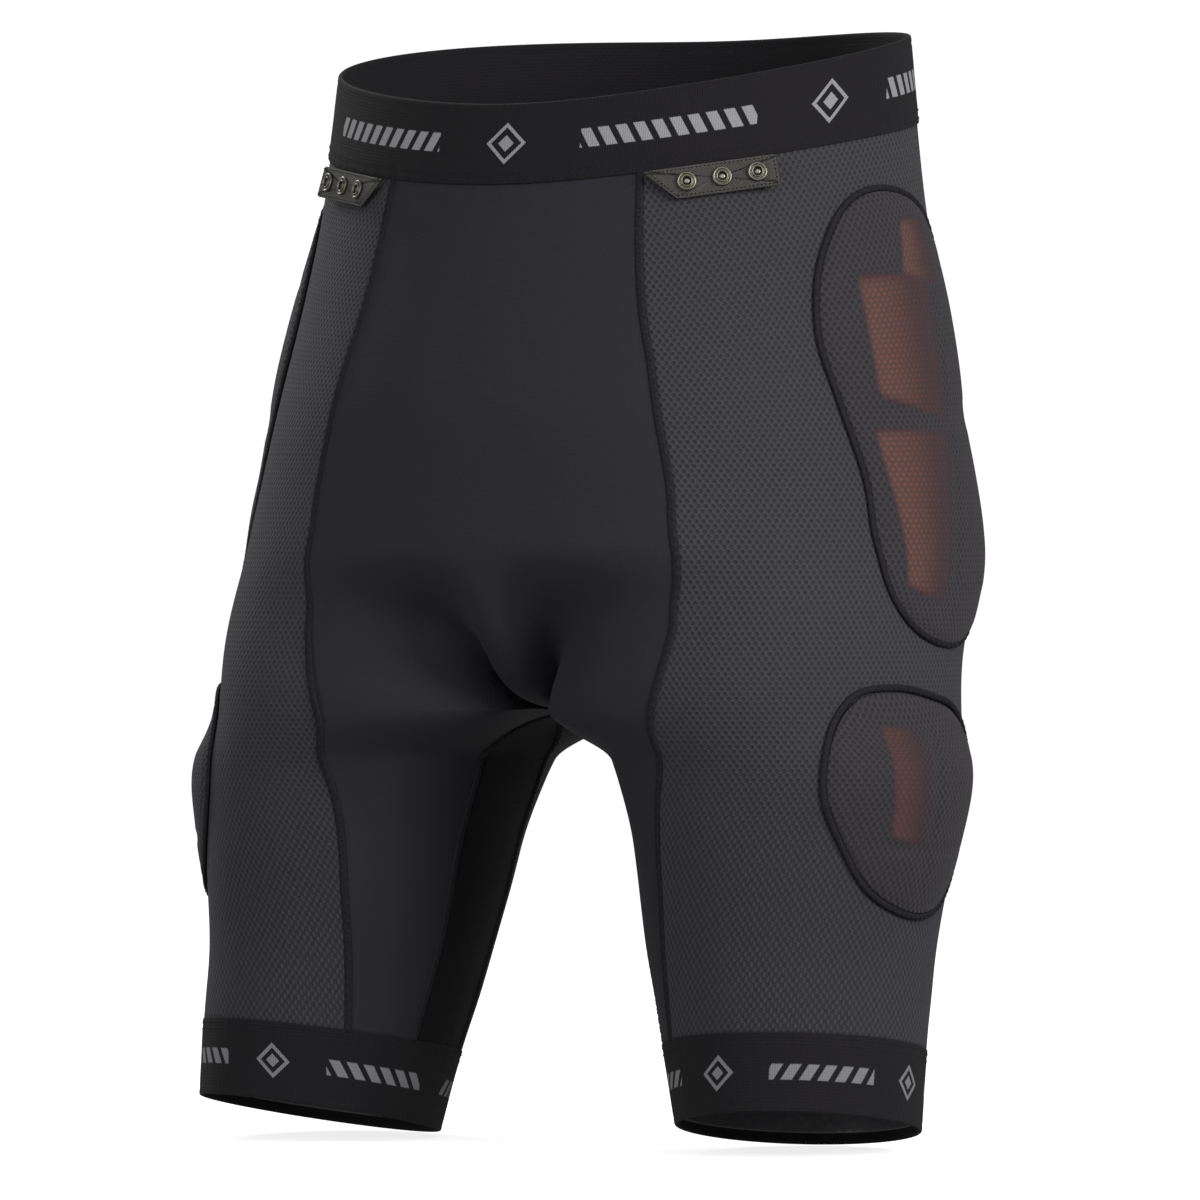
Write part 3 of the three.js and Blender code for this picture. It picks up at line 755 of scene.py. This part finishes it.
def band(section, columns, whole, dimples=None):
    """Vertices, quads and cloth coordinates of a profile carried round u. Whole bands go on round
    the wearer's right; the others close round one leg."""
    v, off, outside = section
    u = np.linspace(0, 1, columns + 1)
    grid_u, grid_v = np.meshgrid(u, v, indexing="ij")
    raised = 0 if dimples is None else dimples(grid_u, grid_v, off)
    points = surface(grid_u, grid_v, np.broadcast_to(off, grid_u.shape) + raised)
    around = arc_from_side(grid_u, grid_v)
    if whole:
        around = around - arc_from_side(np.zeros_like(v), v)
        points = np.concatenate([points, (points * [-1, 1, 1])[-2:0:-1]])
        around = np.concatenate([around, around[-2:0:-1]])
    else:
        points, around = points[:-1], np.abs(around[:-1])
    n, k = around.shape
    cloth = np.stack([around * M, np.broadcast_to(v * M, around.shape),
                      np.broadcast_to(outside, around.shape)], -1)
    i = np.arange(n * k).reshape(n, k)
    ahead, beside = np.roll(i, -1, 0), np.roll(i, -1, 1)
    quads = np.stack([i, ahead, np.roll(ahead, -1, 1), beside], -1).reshape(-1, 4)
    return points.reshape(-1, 3), quads, cloth.reshape(-1, 3)


# Each band's inner and outer face, in mm off the cloth.
WAISTBAND_FACES, LEG_BAND_FACES, GRIPPER_FACES = (-1.4, 1.0), (-1.2, 0.5), (-2.2, -1.5)
GRIPPER_MARGIN = 5
section = bar(BAND_FOOT, TOP, *WAISTBAND_FACES, 1.4, ribs=0.18)
vertices, quads, cloth = band(section, 210, whole=True)
waistband = make("fine_waistband", vertices, quads, waist_elastic, cloth)
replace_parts(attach(waistband, "shorts"), "waistband")

section = bar(0, LEG_BAND_HEIGHT, *LEG_BAND_FACES, 1.4, ribs=0.15)
vertices, quads, cloth = band(section, 160, whole=False)
leg_bands = both_sides("leg_band", vertices, quads, leg_elastic, cloth=cloth)
stand_for(leg_bands, "leg_band")


def waves(u, v, off):
    """Raised rows of silicone: a chequer of soft bumps on the inner face only."""
    bumps = np.sin(2 * np.pi * 60 * u) * np.sin(2 * np.pi * v / 6)
    return np.where(off < -1.9, 0.3 * np.maximum(bumps, 0) ** 0.5, 0)


section = bar(GRIPPER_MARGIN, LEG_BAND_HEIGHT - GRIPPER_MARGIN, *GRIPPER_FACES, 1.2)
vertices, quads, cloth = band(section, 240, whole=False, dimples=waves)
grippers = both_sides("leg_gripper", vertices, quads, silicone, cloth=cloth)
stand_for(grippers, "leg_gripper")
for piece in (waistband, leg_bands[0], grippers[0]):
    print(piece.name, "cloth", round(area_of(piece), 4), "m2,", len(piece.data.polygons), "faces")

# %% [markdown]
# ## Flatlock seams and stitching
# A flatlock seam is a low ridge of thread over two butted edges, with needle threads crossing it.
# Painting it on would leave a flat line at the silhouette. So a domed ribbon is swept along each
# seam line, and a thin thread zigzags over it.

# %% Sweep ribbons and threads along lines on the cloth
def even_line(line, low, high, step):
    """(u, v) at equal steps of length along the line u = line(v)."""
    v = np.linspace(low, high, 400)
    steps = np.linalg.norm(np.diff(surface(line(v), v, 0), axis=0), axis=1) / M
    length = np.concatenate([[0], np.cumsum(steps)])
    even = np.interp(np.linspace(0, length[-1], max(int(length[-1] / step), 8)), length, v)
    return line(even), even


def dome(width, height, foot=0.02, points=7):
    """A closed ribbon section: an arch of points over a flat foot."""
    x = np.linspace(-width / 2, width / 2, points)
    top = foot + (height - foot) * np.sqrt(np.maximum(1 - (2 * x / width) ** 2, 0)) ** 0.7
    top[[0, -1]] = foot + 0.12
    return np.concatenate([np.stack([x, top], -1), [[width / 2, -0.25], [-width / 2, -0.25]]])


def zigzag(u, v, half, low, high, closed=False, per=4):
    """Points and up directions of a thread that crosses a line from side to side. It dips to
    `low` at each edge, where the needle goes in, and rises to `high` between."""
    base, up = surface(u, v, 0), outward(u, v)
    ahead = np.roll(base, -1, 0) - np.roll(base, 1, 0) if closed else np.gradient(base, axis=0)
    across = np.cross(ahead, up)
    across /= np.linalg.norm(across, axis=1, keepdims=True)
    k = np.arange(len(u))
    swing = 2 * np.abs(2 * np.mod(k / (2 * per), 1) - 1) - 1
    lift = high - (high - low) * np.abs(swing) ** 4
    return base + (across * (half * swing)[:, None] + up * lift[:, None]) * M, up


def merge(*parts):
    """Several (vertices, faces) joined into one."""
    vertices, faces, start = [], [], 0
    for v, f in parts:
        vertices.append(v)
        faces += [[i + start for i in face] for face in f]
        start += len(v)
    return np.concatenate(vertices), faces


NEEDLE_THREAD, THREAD_SIDES = 0.2, 5


def flatlock(line, low, high, width=3.8, height=0.95):
    """The ridge and its zigzag thread, as one mesh."""
    u, v = even_line(line, low, high, 2.0)
    ridge = swept(surface(u, v, 0), outward(u, v), dome(width, height))
    u, v = even_line(line, low + 0.6, high - 0.6, 0.55)
    path, up = zigzag(u, v, width * 0.4, 0.55, height + 0.1)
    return merge(ridge, swept(path, up, circle(NEEDLE_THREAD, THREAD_SIDES)))


SEAMS = {
    "front_seam": (front_line, PANEL_FOOT, PANEL_TOP),
    "back_seam": (back_line, PANEL_FOOT, PANEL_TOP),
    "inner_front_seam": (inner_line, PANEL_FOOT, THIGH_ROWS[-4]),
    "inner_back_seam": (lambda v: -inner_line(v), PANEL_FOOT, THIGH_ROWS[-4]),
}
for name, (line, low, high) in SEAMS.items():
    vertices, faces = flatlock(line, low, high)
    pieces = both_sides(name, vertices, faces, thread, cloth=np.zeros_like(vertices))
    stand_for(pieces, name)
    print(name, len(faces), "faces")


# %% Cover stitching that holds the elastic to the panels
def running(v, columns, whole, stitch, low, high):
    """A thread ring at height v that dips through the cloth once per stitch."""
    u = np.linspace(0, 1, columns + 1)[:-1]
    k = np.arange(len(u))
    off = low + (high - low) * (0.5 + 0.5 * np.cos(2 * np.pi * k / stitch))
    points, up = surface(u, v, off), outward(u, np.full(len(u), float(v)))
    if whole:
        behind, other_side = surface(1.0, v, off[0])[None], (points * [-1, 1, 1])[:0:-1]
        points = np.concatenate([points, behind, other_side])
        up = np.concatenate([up, [[0, 1, 0]], (up * [-1, 1, 1])[:0:-1]])
    return swept(points, up, circle(0.24, THREAD_SIDES), closed=True)


STITCH = 5                     # points to a stitch
WAIST_STITCHES, HEM_STITCHES = 154, 100
rows = [running(BAND_FOOT + h, WAIST_STITCHES * STITCH, True, STITCH, 0.5, 1.15)
        for h in (2.6, 6.4)]
vertices, faces = merge(*rows)
waist_stitch = make("waistband_stitching", vertices, faces, thread, np.zeros_like(vertices))
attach(waist_stitch, "shorts")
rows = [running(LEG_BAND_HEIGHT - h, HEM_STITCHES * STITCH, False, STITCH, 0.1, 0.62)
        for h in (2.4, 5.6)]
vertices, faces = merge(*rows)
hem_stitches = both_sides("leg_band_stitching", vertices, faces, thread,
                          cloth=np.zeros_like(vertices))
print("stitching", len(waist_stitch.data.polygons) + 2 * len(vertices), "faces")

# %% [markdown]
# ## Foam pads under mesh covers
# Each pad is foam cut to an outline and moulded thinner in channels, so that it bends. A mesh
# cover is sewn over it, and a bound seam runs round the cover's edge. The foam is a domed form on
# a polar grid. The cover begins as the same form a little further out, and Blender's cloth
# simulation then blows it up slightly under pressure while its sewn rim stays put.

# %% Outlines on the cloth: mm behind the side line, mm above the hems
HIP_OUTLINE = [
    [-18, 438], [-44, 433], [-62, 407], [-67, 374], [-60, 342], [-51, 305], [-49, 277],
    [-38, 252], [-14, 234], [22, 228], [52, 238], [62, 268], [59, 300], [55, 330], [57, 365],
    [46, 401], [18, 426],
]
THIGH_OUTLINE = [
    [-32, 205], [-56, 202], [-70, 184], [-73, 157], [-60, 131], [-40, 107],
    [-12, 98], [14, 104], [36, 126], [46, 157], [42, 181], [22, 195], [-4, 201],
]
HIP_FOAM, THIGH_FOAM, FOAM_EDGE, FOAM_INSET = 7.5, 5.5, 1.0, 5.0
PAD_SEAT, COVER, PIPING_RADIUS = 0.9, 0.9, 1.3   # the pad's foot off the cloth, and thicknesses
PRESS = 0.42                   # share of the foam that a channel takes away
PUFF_LIMIT = 0.0012            # metres that the cover may swell
# Windows of bare foam behind the cover: low and high distance behind the side line at the foot
# and at the top, then the low and high height.
HIP_WINDOWS = [
    (-16, 14, -12, 10, 404, 423), (-42, 4, -46, 2, 341, 399), (-32, -2, -46, 2, 256, 327),
]
THIGH_WINDOWS = [(-37, -14, -46, -16, 131, 193)]
SLANT = 0.3                    # a window's ends rise towards the front by this much per mm
HIP_CHANNELS = [("h", 334, 6), ("h", 402, 3), ("s", 6, 3), ("h", 251, 3)]
THIGH_CHANNELS = [("h", 128, 3), ("s", -13, 3)]


def closed_curve(points, count):
    """Points at equal steps along a smooth closed curve through the given points (Catmull-Rom)."""
    p = np.array(points, float)
    t = np.linspace(0, len(p), 40 * len(p), endpoint=False)
    k, f = t.astype(int), (t - t.astype(int))[:, None]
    a, b, c, d = (p[(k + j) % len(p)] for j in (-1, 0, 1, 2))
    square, cube = 2 * a - 5 * b + 4 * c - d, 3 * b - a - 3 * c + d
    fine = 0.5 * (2 * b + (c - a) * f + square * f ** 2 + cube * f ** 3)
    loop = np.concatenate([fine, fine[:1]])
    length = np.concatenate([[0], np.cumsum(np.linalg.norm(np.diff(loop, axis=0), axis=1))])
    at = np.linspace(0, length[-1], count, endpoint=False)
    return np.stack([np.interp(at, length, loop[:, j]) for j in (0, 1)], -1)


def channel_depth(s, h, channels):
    """How far the foam is pressed in, 0 to 1, near its moulded channels."""
    depth = np.zeros(np.shape(s))
    for kind, place, half in channels:
        away = np.abs((h if kind == "h" else s) - place)
        depth = np.maximum(depth, 1 - smooth(away, half * 0.3, half * 1.6))
    return depth


def window_foam_and_painted_highlight(s, h, windows, strength):
    """1 where foam shows through the cover, strongest at the front edge of each window: a painted
    highlight there, fading to painted shade towards the back.
    """
    glow = np.zeros(np.shape(s))
    for foot_low, foot_high, top_low, top_high, low, high in windows:
        share = np.clip((h - low) / (high - low), 0, 1)
        level = h + SLANT * (s + 30)
        left = foot_low + (top_low - foot_low) * share
        right = foot_high + (top_high - foot_high) * share
        inside = smooth(s, left - 2, left + 2) * (1 - smooth(s, right - 5, right + 4))
        inside *= smooth(level, low - 3, low + 3) * (1 - smooth(h, high - 3, high + 3))
        # Painted highlight and shade: the mask dims by three quarters from a window's front edge to
        # its back.
        fade = 1 - 0.75 * smooth((s - left) / (right - left), 0.1, 0.8)
        glow = np.maximum(glow, inside * fade)
    return glow * strength


# %% Foam and cover on polar grids
RING_COLUMNS, FOAM_RINGS = 168, np.linspace(1, 0, 34) ** 0.85


def pad_rings(outline, inset, shares):
    """(s, h) of rings shrunk towards the middle, after stepping `inset` mm in from the outline."""
    rim, middle = closed_curve(outline, RING_COLUMNS), np.mean(outline, 0)
    reach = rim - middle
    size = np.linalg.norm(reach, axis=1, keepdims=True)
    edge = reach * (size - inset) / size
    return middle + np.asarray(shares)[:, None, None] * edge


def dome_top(share, thickness):
    """Height off the cloth at a share of the way from the middle to the rim: a cubic dome."""
    return PAD_SEAT + FOAM_EDGE + (thickness - FOAM_EDGE) * (1 - share ** 3)


def closed_rings(rings):
    """The rings with their first point again at the end."""
    return np.concatenate([rings, rings[:, :1]], 1)


def foam_pad(outline, thickness, channels):
    """A domed slab pressed in along its channels, with small moulded dimples."""
    flat = closed_rings(pad_rings(outline, FOAM_INSET, FOAM_RINGS))
    s, h = flat[..., 0], flat[..., 1]
    u, share = beside_line(s, h), FOAM_RINGS[:, None]
    press = channel_depth(s, h, channels) * (1 - share ** 4) * PRESS * thickness
    dimple = 0.35 * (np.sin(s * 0.9) * np.sin(h * 0.9)) ** 4 * (1 - share ** 6)
    top = dome_top(share, thickness) - press - dimple
    vertices, quads = slab(surface(u, h, top), surface(u, h, PAD_SEAT), ring=True)
    cloth = np.stack([s * M, h * M, np.ones_like(s)], -1).reshape(-1, 3)
    return vertices, quads, np.concatenate([cloth, cloth])


def swell(points, quads, rim_count, cap):
    """Blow up a sheet whose first `rim_count` points are sewn down: cloth with pressure and no
    gravity for 20 frames. Gives how far each point moved, at most `cap` metres."""
    mesh = bpy.data.meshes.new("cover_sheet")
    mesh.from_pydata(points.tolist(), [], quads.tolist())
    sheet = bpy.data.objects.new("cover_sheet", mesh)
    bpy.context.scene.collection.objects.link(sheet)
    sheet.vertex_groups.new(name="sewn").add(list(range(rim_count)), 1.0, "REPLACE")
    cloth = sheet.modifiers.new("cloth", "CLOTH")
    settings = cloth.settings
    settings.vertex_group_mass = "sewn"
    settings.use_pressure, settings.uniform_pressure_force = True, 4.0
    settings.effector_weights.gravity = 0
    settings.quality, settings.mass = 5, 0.3
    settings.tension_stiffness = settings.compression_stiffness = 30
    scene = bpy.context.scene
    for frame_number in range(1, 21):
        scene.frame_set(frame_number)
    shape = sheet.evaluated_get(bpy.context.evaluated_depsgraph_get()).to_mesh()
    moved_to = np.empty(len(points) * 3)
    shape.vertices.foreach_get("co", moved_to)
    scene.frame_set(1)
    bpy.data.objects.remove(sheet)
    move = moved_to.reshape(-1, 3) - points
    length = np.linalg.norm(move, axis=1, keepdims=True)
    return move * np.minimum(1, cap / np.maximum(length, 1e-9))


def cover_pad(outline, thickness, channels, windows, strength):
    """The mesh cover: a sewn skirt round the edge, then over the foam and a little into its
    channels."""
    skirt = pad_rings(outline, 0, [1.0])
    climb = np.concatenate([pad_rings(outline, mm, [1.0]) for mm in (1.2, 2.4, 3.8)])
    over = pad_rings(outline, FOAM_INSET, FOAM_RINGS[1:-1])
    middle = pad_rings(outline, FOAM_INSET, [0.0])
    rings = np.concatenate([skirt, climb, over, middle])
    s, h = rings[..., 0], rings[..., 1]
    u = beside_line(s, h)
    share = np.concatenate([[1, 1, 1, 1], FOAM_RINGS[1:]])[:, None]
    rise = np.array([0, 0.3, 0.8, 1.6])
    inner = dome_top(share, thickness) + 0.6
    inner = inner - 0.9 * channel_depth(s, h, channels) * (1 - share ** 4)
    inner[:4] = (PAD_SEAT + rise)[:, None]
    base = surface(u, h, inner)
    count = RING_COLUMNS
    sheet_quads = lattice(len(rings) - 1, count)
    i = np.arange((len(rings) - 1) * count).reshape(-1, count)
    wrap = np.stack([i[:-1, -1], i[:-1, 0], i[1:, 0], i[1:, -1]], -1)
    sheet = base[:-1].reshape(-1, 3)
    move = swell(sheet, np.concatenate([sheet_quads, wrap]), 2 * count, PUFF_LIMIT)
    away = outward(u[:-1], h[:-1]).reshape(-1, 3)
    puff = np.maximum(np.sum(move * away, 1), 0).reshape(-1, count) / M
    puff = np.concatenate([puff, np.full((1, count), puff[-1].mean())])
    lower, upper = surface(u, h, inner + puff), surface(u, h, inner + puff + COVER)
    vertices, quads = slab(closed_rings(upper), closed_rings(lower), ring=True)
    x, y, glow = (closed_rings(a) for a in (s * M, h * M, window_foam_and_painted_highlight(s, h, windows, strength)))
    sides = [np.stack([x, y, np.full_like(x, side)], -1).reshape(-1, 3) for side in (1.0, 0.0)]
    print("cover puffed up by", round(float(puff.max()), 2), "mm")
    return vertices, quads, np.concatenate(sides), np.concatenate([glow.ravel(), glow.ravel()])


RIM_POINTS = 400


def bound_edge(outline):
    """The bound seam round a cover: a low domed cord with a thread crossing it."""
    rim = closed_curve(outline, RIM_POINTS)
    reach = rim - np.mean(outline, 0)
    size = np.linalg.norm(reach, axis=1, keepdims=True)
    line = rim + reach / size * (PIPING_RADIUS + GAP)
    u, v = beside_line(line[:, 0], line[:, 1]), line[:, 1]
    up = outward(u, v)
    turn = np.linspace(0, 2 * np.pi, 12, endpoint=False)
    section = np.stack([1.6 * np.cos(turn), 1.15 + 1.1 * np.sin(turn)], -1)
    cord = swept(surface(u, v, 0)[::2], up[::2], section, closed=True)
    fine = np.linspace(0, RIM_POINTS, RIM_POINTS * 2, endpoint=False)
    u_fine, v_fine = (np.interp(fine, np.arange(RIM_POINTS + 1), np.append(a, a[0]))
                      for a in (u, v))
    path, up_fine = zigzag(u_fine, v_fine, 1.4, 1.5, 2.25, closed=True)
    return merge(cord, swept(path, up_fine, circle(NEEDLE_THREAD, THREAD_SIDES), closed=True))


# %% Make both pads on both sides
PADS = {
    "hip": (HIP_OUTLINE, HIP_FOAM, HIP_CHANNELS, HIP_WINDOWS, 0.9, 1.0),
    "thigh": (THIGH_OUTLINE, THIGH_FOAM, THIGH_CHANNELS, THIGH_WINDOWS, 0.8, 0.5),
}
for place, (outline, thickness, channels, windows, fill, strength) in PADS.items():
    vertices, quads, cloth = foam_pad(outline, thickness, channels)
    name = f"{place}_foam"
    for piece in stand_for(both_sides(name, vertices, quads, foam, cloth=cloth), name):
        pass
    vertices, quads, cloth, glow = cover_pad(outline, thickness, channels, windows, strength)
    name = f"{place}_cover"
    pieces = both_sides(name, vertices, quads, cover_knit, cloth=cloth, glow=glow)
    stand_for(pieces, name)
    vertices, faces = bound_edge(outline)
    name = f"{place}_piping"
    pieces = both_sides(name, vertices, faces, thread, cloth=np.zeros_like(vertices))
    stand_for(pieces, name)

# %% [markdown]
# ## Snap tabs
# A strip of webbing hangs under the waistband on each side of the front, with three press
# studs that hold a pair of overshorts. It is stiff and turns about its sewn upper edge, so it has
# its own body. The plate is a flat form with rounded corners; the studs are turned sections.

# %% The tab's own frame
TAB_LENGTH, TAB_HEIGHT, TAB_THICKNESS, TAB_SLANT, TAB_U = 63, 15, 1.4, 14, 0.225
SNAP_PITCH, SNAP_SHIFT, SNAP_RADIUS, SNAP_HEIGHT, SNAP_BORE = 16.8, 5, 4.6, 1.7, 2.1
RIVET_RADIUS, RIVET_HEAD, RIVET_POST = 3.9, 0.7, 1.5
TAB_V = BAND_FOOT - GAP - TAB_HEIGHT / 2


def tab_side(du, dv):
    """The unit direction across the tab's middle, from -(du, dv) to +(du, dv)."""
    ahead = surface(TAB_U + du, TAB_V + dv, 0, False) - surface(TAB_U - du, TAB_V - dv, 0, False)
    return ahead / np.linalg.norm(ahead)


tab_along = tab_side(0.01, 0)
tab_out = np.cross(tab_along, tab_side(0, 2))
tab_out /= np.linalg.norm(tab_out)
tab_up = np.cross(tab_out, tab_along)
tab_at = surface(TAB_U, TAB_V, 0, False) + tab_out * (RIVET_HEAD + 3 * GAP) * M


def on_tab(points):
    """Points in mm on the left tab (along to the back, up, away from the wearer) to metres."""
    return tab_at + np.asarray(points, float) @ np.stack([tab_along, tab_up, tab_out]) * M


# %% The webbing plate and its stitched border
def rounded(corners, radius, steps=6):
    """A closed outline whose corners are quadratic curves that begin `radius` from each corner."""
    c = np.array(corners, float)
    before, after = np.roll(c, 1, 0) - c, np.roll(c, -1, 0) - c
    a = c + radius * before / np.linalg.norm(before, axis=1, keepdims=True)
    b = c + radius * after / np.linalg.norm(after, axis=1, keepdims=True)
    t = np.linspace(0, 1, steps)[None, :, None]
    curve = (1 - t) ** 2 * a[:, None] + 2 * t * (1 - t) * c[:, None] + t ** 2 * b[:, None]
    return curve.reshape(-1, 2)


def inset(outline, mm):
    """The outline moved inwards by mm along its own normals."""
    ahead = np.roll(outline, -1, 0) - np.roll(outline, 1, 0)
    normal = np.stack([ahead[:, 1], -ahead[:, 0]], -1)
    normal /= np.linalg.norm(ahead, axis=1, keepdims=True)
    return outline - normal * mm


# The edge as (mm in from the outline, height), with a groove for the stitching near its end. The
# flat faces are rings that shrink from the edge to the middle by these shares.
EDGE = [(1.5, 0.0), (0.7, 0.0), (0.2, 0.12), (0.0, 0.45), (0.0, 0.95), (0.2, 1.26), (0.7, 1.4),
        (1.15, 1.3), (1.5, 1.4)]
FACE_SHARES = (0, 0.3, 0.6, 0.9)
half_length, half_height = TAB_LENGTH / 2, TAB_HEIGHT / 2
plate = rounded([[-half_length, half_height], [-half_length + TAB_SLANT, -half_height],
                 [half_length, -half_height], [half_length, half_height]], 1.8)
plate = np.linspace(plate, np.roll(plate, -1, 0), 9, axis=1)[:, :-1].reshape(-1, 2)
middle = plate.mean(0)
face = inset(plate, EDGE[0][0]) - middle
rings = [(middle + face * share, 0.0) for share in FACE_SHARES]
rings += [(inset(plate, mm), z) for mm, z in EDGE]
rings += [(middle + face * share, TAB_THICKNESS) for share in reversed(FACE_SHARES)]
rings = [np.concatenate([ring, np.full((len(ring), 1), z)], 1) for ring, z in rings]
rings = closed_rings(np.array(rings))
tab_cloth = rings.reshape(-1, 3) * [M, M, 0] + [0, 0, 1]
tabs = both_sides("snap_tab", on_tab(rings.reshape(-1, 3)), lattice(*rings.shape[:2]), webbing,
                  body="tab", cloth=tab_cloth)
stand_for(tabs, "snap_tab")

TAB_STITCH = 6                 # points to a stitch
stitched = closed_curve(inset(plate, 1.15)[::4], 80 * TAB_STITCH)
dips = np.cos(2 * np.pi * np.arange(len(stitched)) / TAB_STITCH)
lift = TAB_THICKNESS - 0.16 + 0.3 * dips
path = on_tab(np.concatenate([stitched, lift[:, None]], 1))
vertices, faces = swept(path, np.broadcast_to(tab_out, path.shape), circle(0.22, THREAD_SIDES),
                        closed=True)
for piece in both_sides("snap_tab_stitching", vertices, faces, thread, body="tab",
                        cloth=np.zeros_like(vertices)):
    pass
print("tab plates", [round(d * 1000, 1) for d in tabs[0].dimensions], "mm")


# %% Press studs as turned sections
def turned(section, place, sides=40):
    """A section of (radius, height) turned about an axis `place` mm behind the tab's middle."""
    r, z = np.array(section, float).T
    turn = np.linspace(0, 2 * np.pi, sides + 1)
    points = np.stack([place + np.outer(r, np.cos(turn)), np.outer(r, np.sin(turn)),
                       np.broadcast_to(z[:, None], (len(r), sides + 1))], -1)
    return on_tab(points.reshape(-1, 3)), lattice(len(r), sides + 1)


bead = np.linspace(0, np.pi, 7)
FOOT = TAB_THICKNESS + GAP     # the height of a socket's underside
SOCKET = [(SNAP_BORE, FOOT + 0.4), (SNAP_BORE, FOOT)]
SOCKET += [(SNAP_RADIUS - 0.2, FOOT), (SNAP_RADIUS, FOOT + 0.2)]
SOCKET += [(SNAP_RADIUS - 0.6 + 0.6 * math.cos(a), FOOT + 0.9 + 0.5 * math.sin(a)) for a in bead]
SOCKET += [(SNAP_RADIUS - 1.5, FOOT + 0.65), (SNAP_RADIUS - 1.8, FOOT + 1.0)]
SOCKET += [(SNAP_BORE + 0.35 + 0.35 * math.cos(a), FOOT + 1.35 + 0.35 * math.sin(a))
           for a in bead]
SOCKET.append(SOCKET[0])
POST_TOP = FOOT + SNAP_HEIGHT * 0.6
RIVET = [
    (0, -GAP - RIVET_HEAD), (RIVET_RADIUS - 0.8, -GAP - RIVET_HEAD),
    (RIVET_RADIUS - 0.2, -GAP - 0.5), (RIVET_RADIUS, -GAP - 0.2), (RIVET_RADIUS - 0.15, -GAP),
    (RIVET_POST + 0.2, -GAP), (RIVET_POST, 0.1), (RIVET_POST, POST_TOP - 0.4),
    (RIVET_POST - 0.3, POST_TOP - 0.1), (0.6, POST_TOP), (0, POST_TOP - 0.15),
]
for number in (1, 2, 3):
    place = SNAP_SHIFT + (number - 2) * SNAP_PITCH
    for kind, section in (("socket", SOCKET), ("rivet", RIVET)):
        vertices, quads = turned(section, place)
        name = f"snap_{kind}_{number}"
        pieces = both_sides(name, vertices, quads, metal, body="tab",
                            cloth=np.zeros_like(vertices))
        stand_for(pieces, name)
print("studs: 3 sockets and 3 rivets on each tab")

# %% [markdown]
# ## How stretch knit is cut
# Stretch knit is cut smaller than it is worn: about a tenth narrower round the body, and full
# height.


# %% [markdown]
# ## Camera, light and floor
# The shorts stand as if worn, seen from the wearer's front left at hip height, with a long lens
# so that nothing bulges. Soft light from large areas suits dark cloth: one strong source at
# the camera's right, weaker ones elsewhere.

# %% Studio
AZIMUTH, DISTANCE, FRAME_WIDTH, SENSOR = math.radians(29), 4.3, 0.577, 36.0
right = Vector((math.cos(AZIMUTH), math.sin(AZIMUTH), 0))
back = Vector((math.sin(AZIMUTH), -math.cos(AZIMUTH), 0))
target = right * -0.011 + Vector((0, 0, -0.258))


def aim(obj, place, at):
    obj.location = place
    obj.rotation_euler = (Vector(at) - Vector(place)).to_track_quat("-Z", "Y").to_euler()
    bpy.context.scene.collection.objects.link(obj)


camera = bpy.data.objects.new("camera", bpy.data.cameras.new("camera"))
camera.data.sensor_width = SENSOR
camera.data.lens = SENSOR * DISTANCE / FRAME_WIDTH
camera.data.clip_end = 50
aim(camera, target + back * DISTANCE, target)
bpy.context.scene.camera = camera


def softbox(name, side, ahead, up, size, watts):
    """An area light placed by metres to the camera's right, towards the camera, and up."""
    lamp = bpy.data.lights.new(name, "AREA")
    lamp.shape, lamp.size, lamp.energy = "DISK", size, watts
    place = target + right * side + back * ahead + Vector((0, 0, up))
    aim(bpy.data.objects.new(name, lamp), place, target)


softbox("key", 2.2, 1.9, 1.1, 1.6, 56)
softbox("fill", -2.4, 2.2, 0.6, 2.0, 22)
softbox("front", 0.2, 3.4, 1.6, 1.8, 18)
softbox("rim", -1.4, -2.0, 1.6, 1.2, 25)

world = bpy.data.worlds.new("studio")
world.use_nodes = True
sky = world.node_tree.nodes["Background"].inputs
sky["Color"].default_value = (1, 1, 1, 1)
sky["Strength"].default_value = 0.22
bpy.context.scene.world = world
bpy.context.scene.view_settings.view_transform = "Standard"

# %% A floor that curves up into a backdrop all round
def bowl(radius, bend, height, floor_z, sides=96):
    """A disc whose edge curves up into a wall: a profile of (distance out, up) turned about Z."""
    angle = np.linspace(-np.pi / 2, 0, 16)
    out = np.concatenate([[0], radius + bend * np.cos(angle), [radius + bend]])
    up = np.concatenate([[0], bend + bend * np.sin(angle), [height]])
    turn = np.linspace(0, 2 * np.pi, sides + 1)
    points = np.stack([np.outer(out, np.cos(turn)), np.outer(out, np.sin(turn)),
                       np.broadcast_to(up[:, None], (len(out), sides + 1))], -1)
    return points.reshape(-1, 3) + [0, 0, floor_z], lattice(len(out), sides + 1)[:, ::-1]


PAPER = {"Base Color": (0.9, 0.9, 0.9, 1), "Roughness": 0.9,
         "Emission Color": (1, 1, 1, 1), "Emission Strength": 0.8}
paper = bpy.data.materials.new("paper")
paper.use_nodes = True
for key, value in PAPER.items():
    paper.node_tree.nodes["Principled BSDF"].inputs[key].default_value = value
floor_z = CAD_BOX[0][2] - 0.0005
vertices, quads = bowl(6.5, 2.0, 7.0, floor_z)
backdrop = make("backdrop", vertices, quads, paper, turn=False)
backdrop.visible_diffuse = backdrop.visible_glossy = backdrop.visible_shadow = False
print("floor at", round(floor_z, 4))
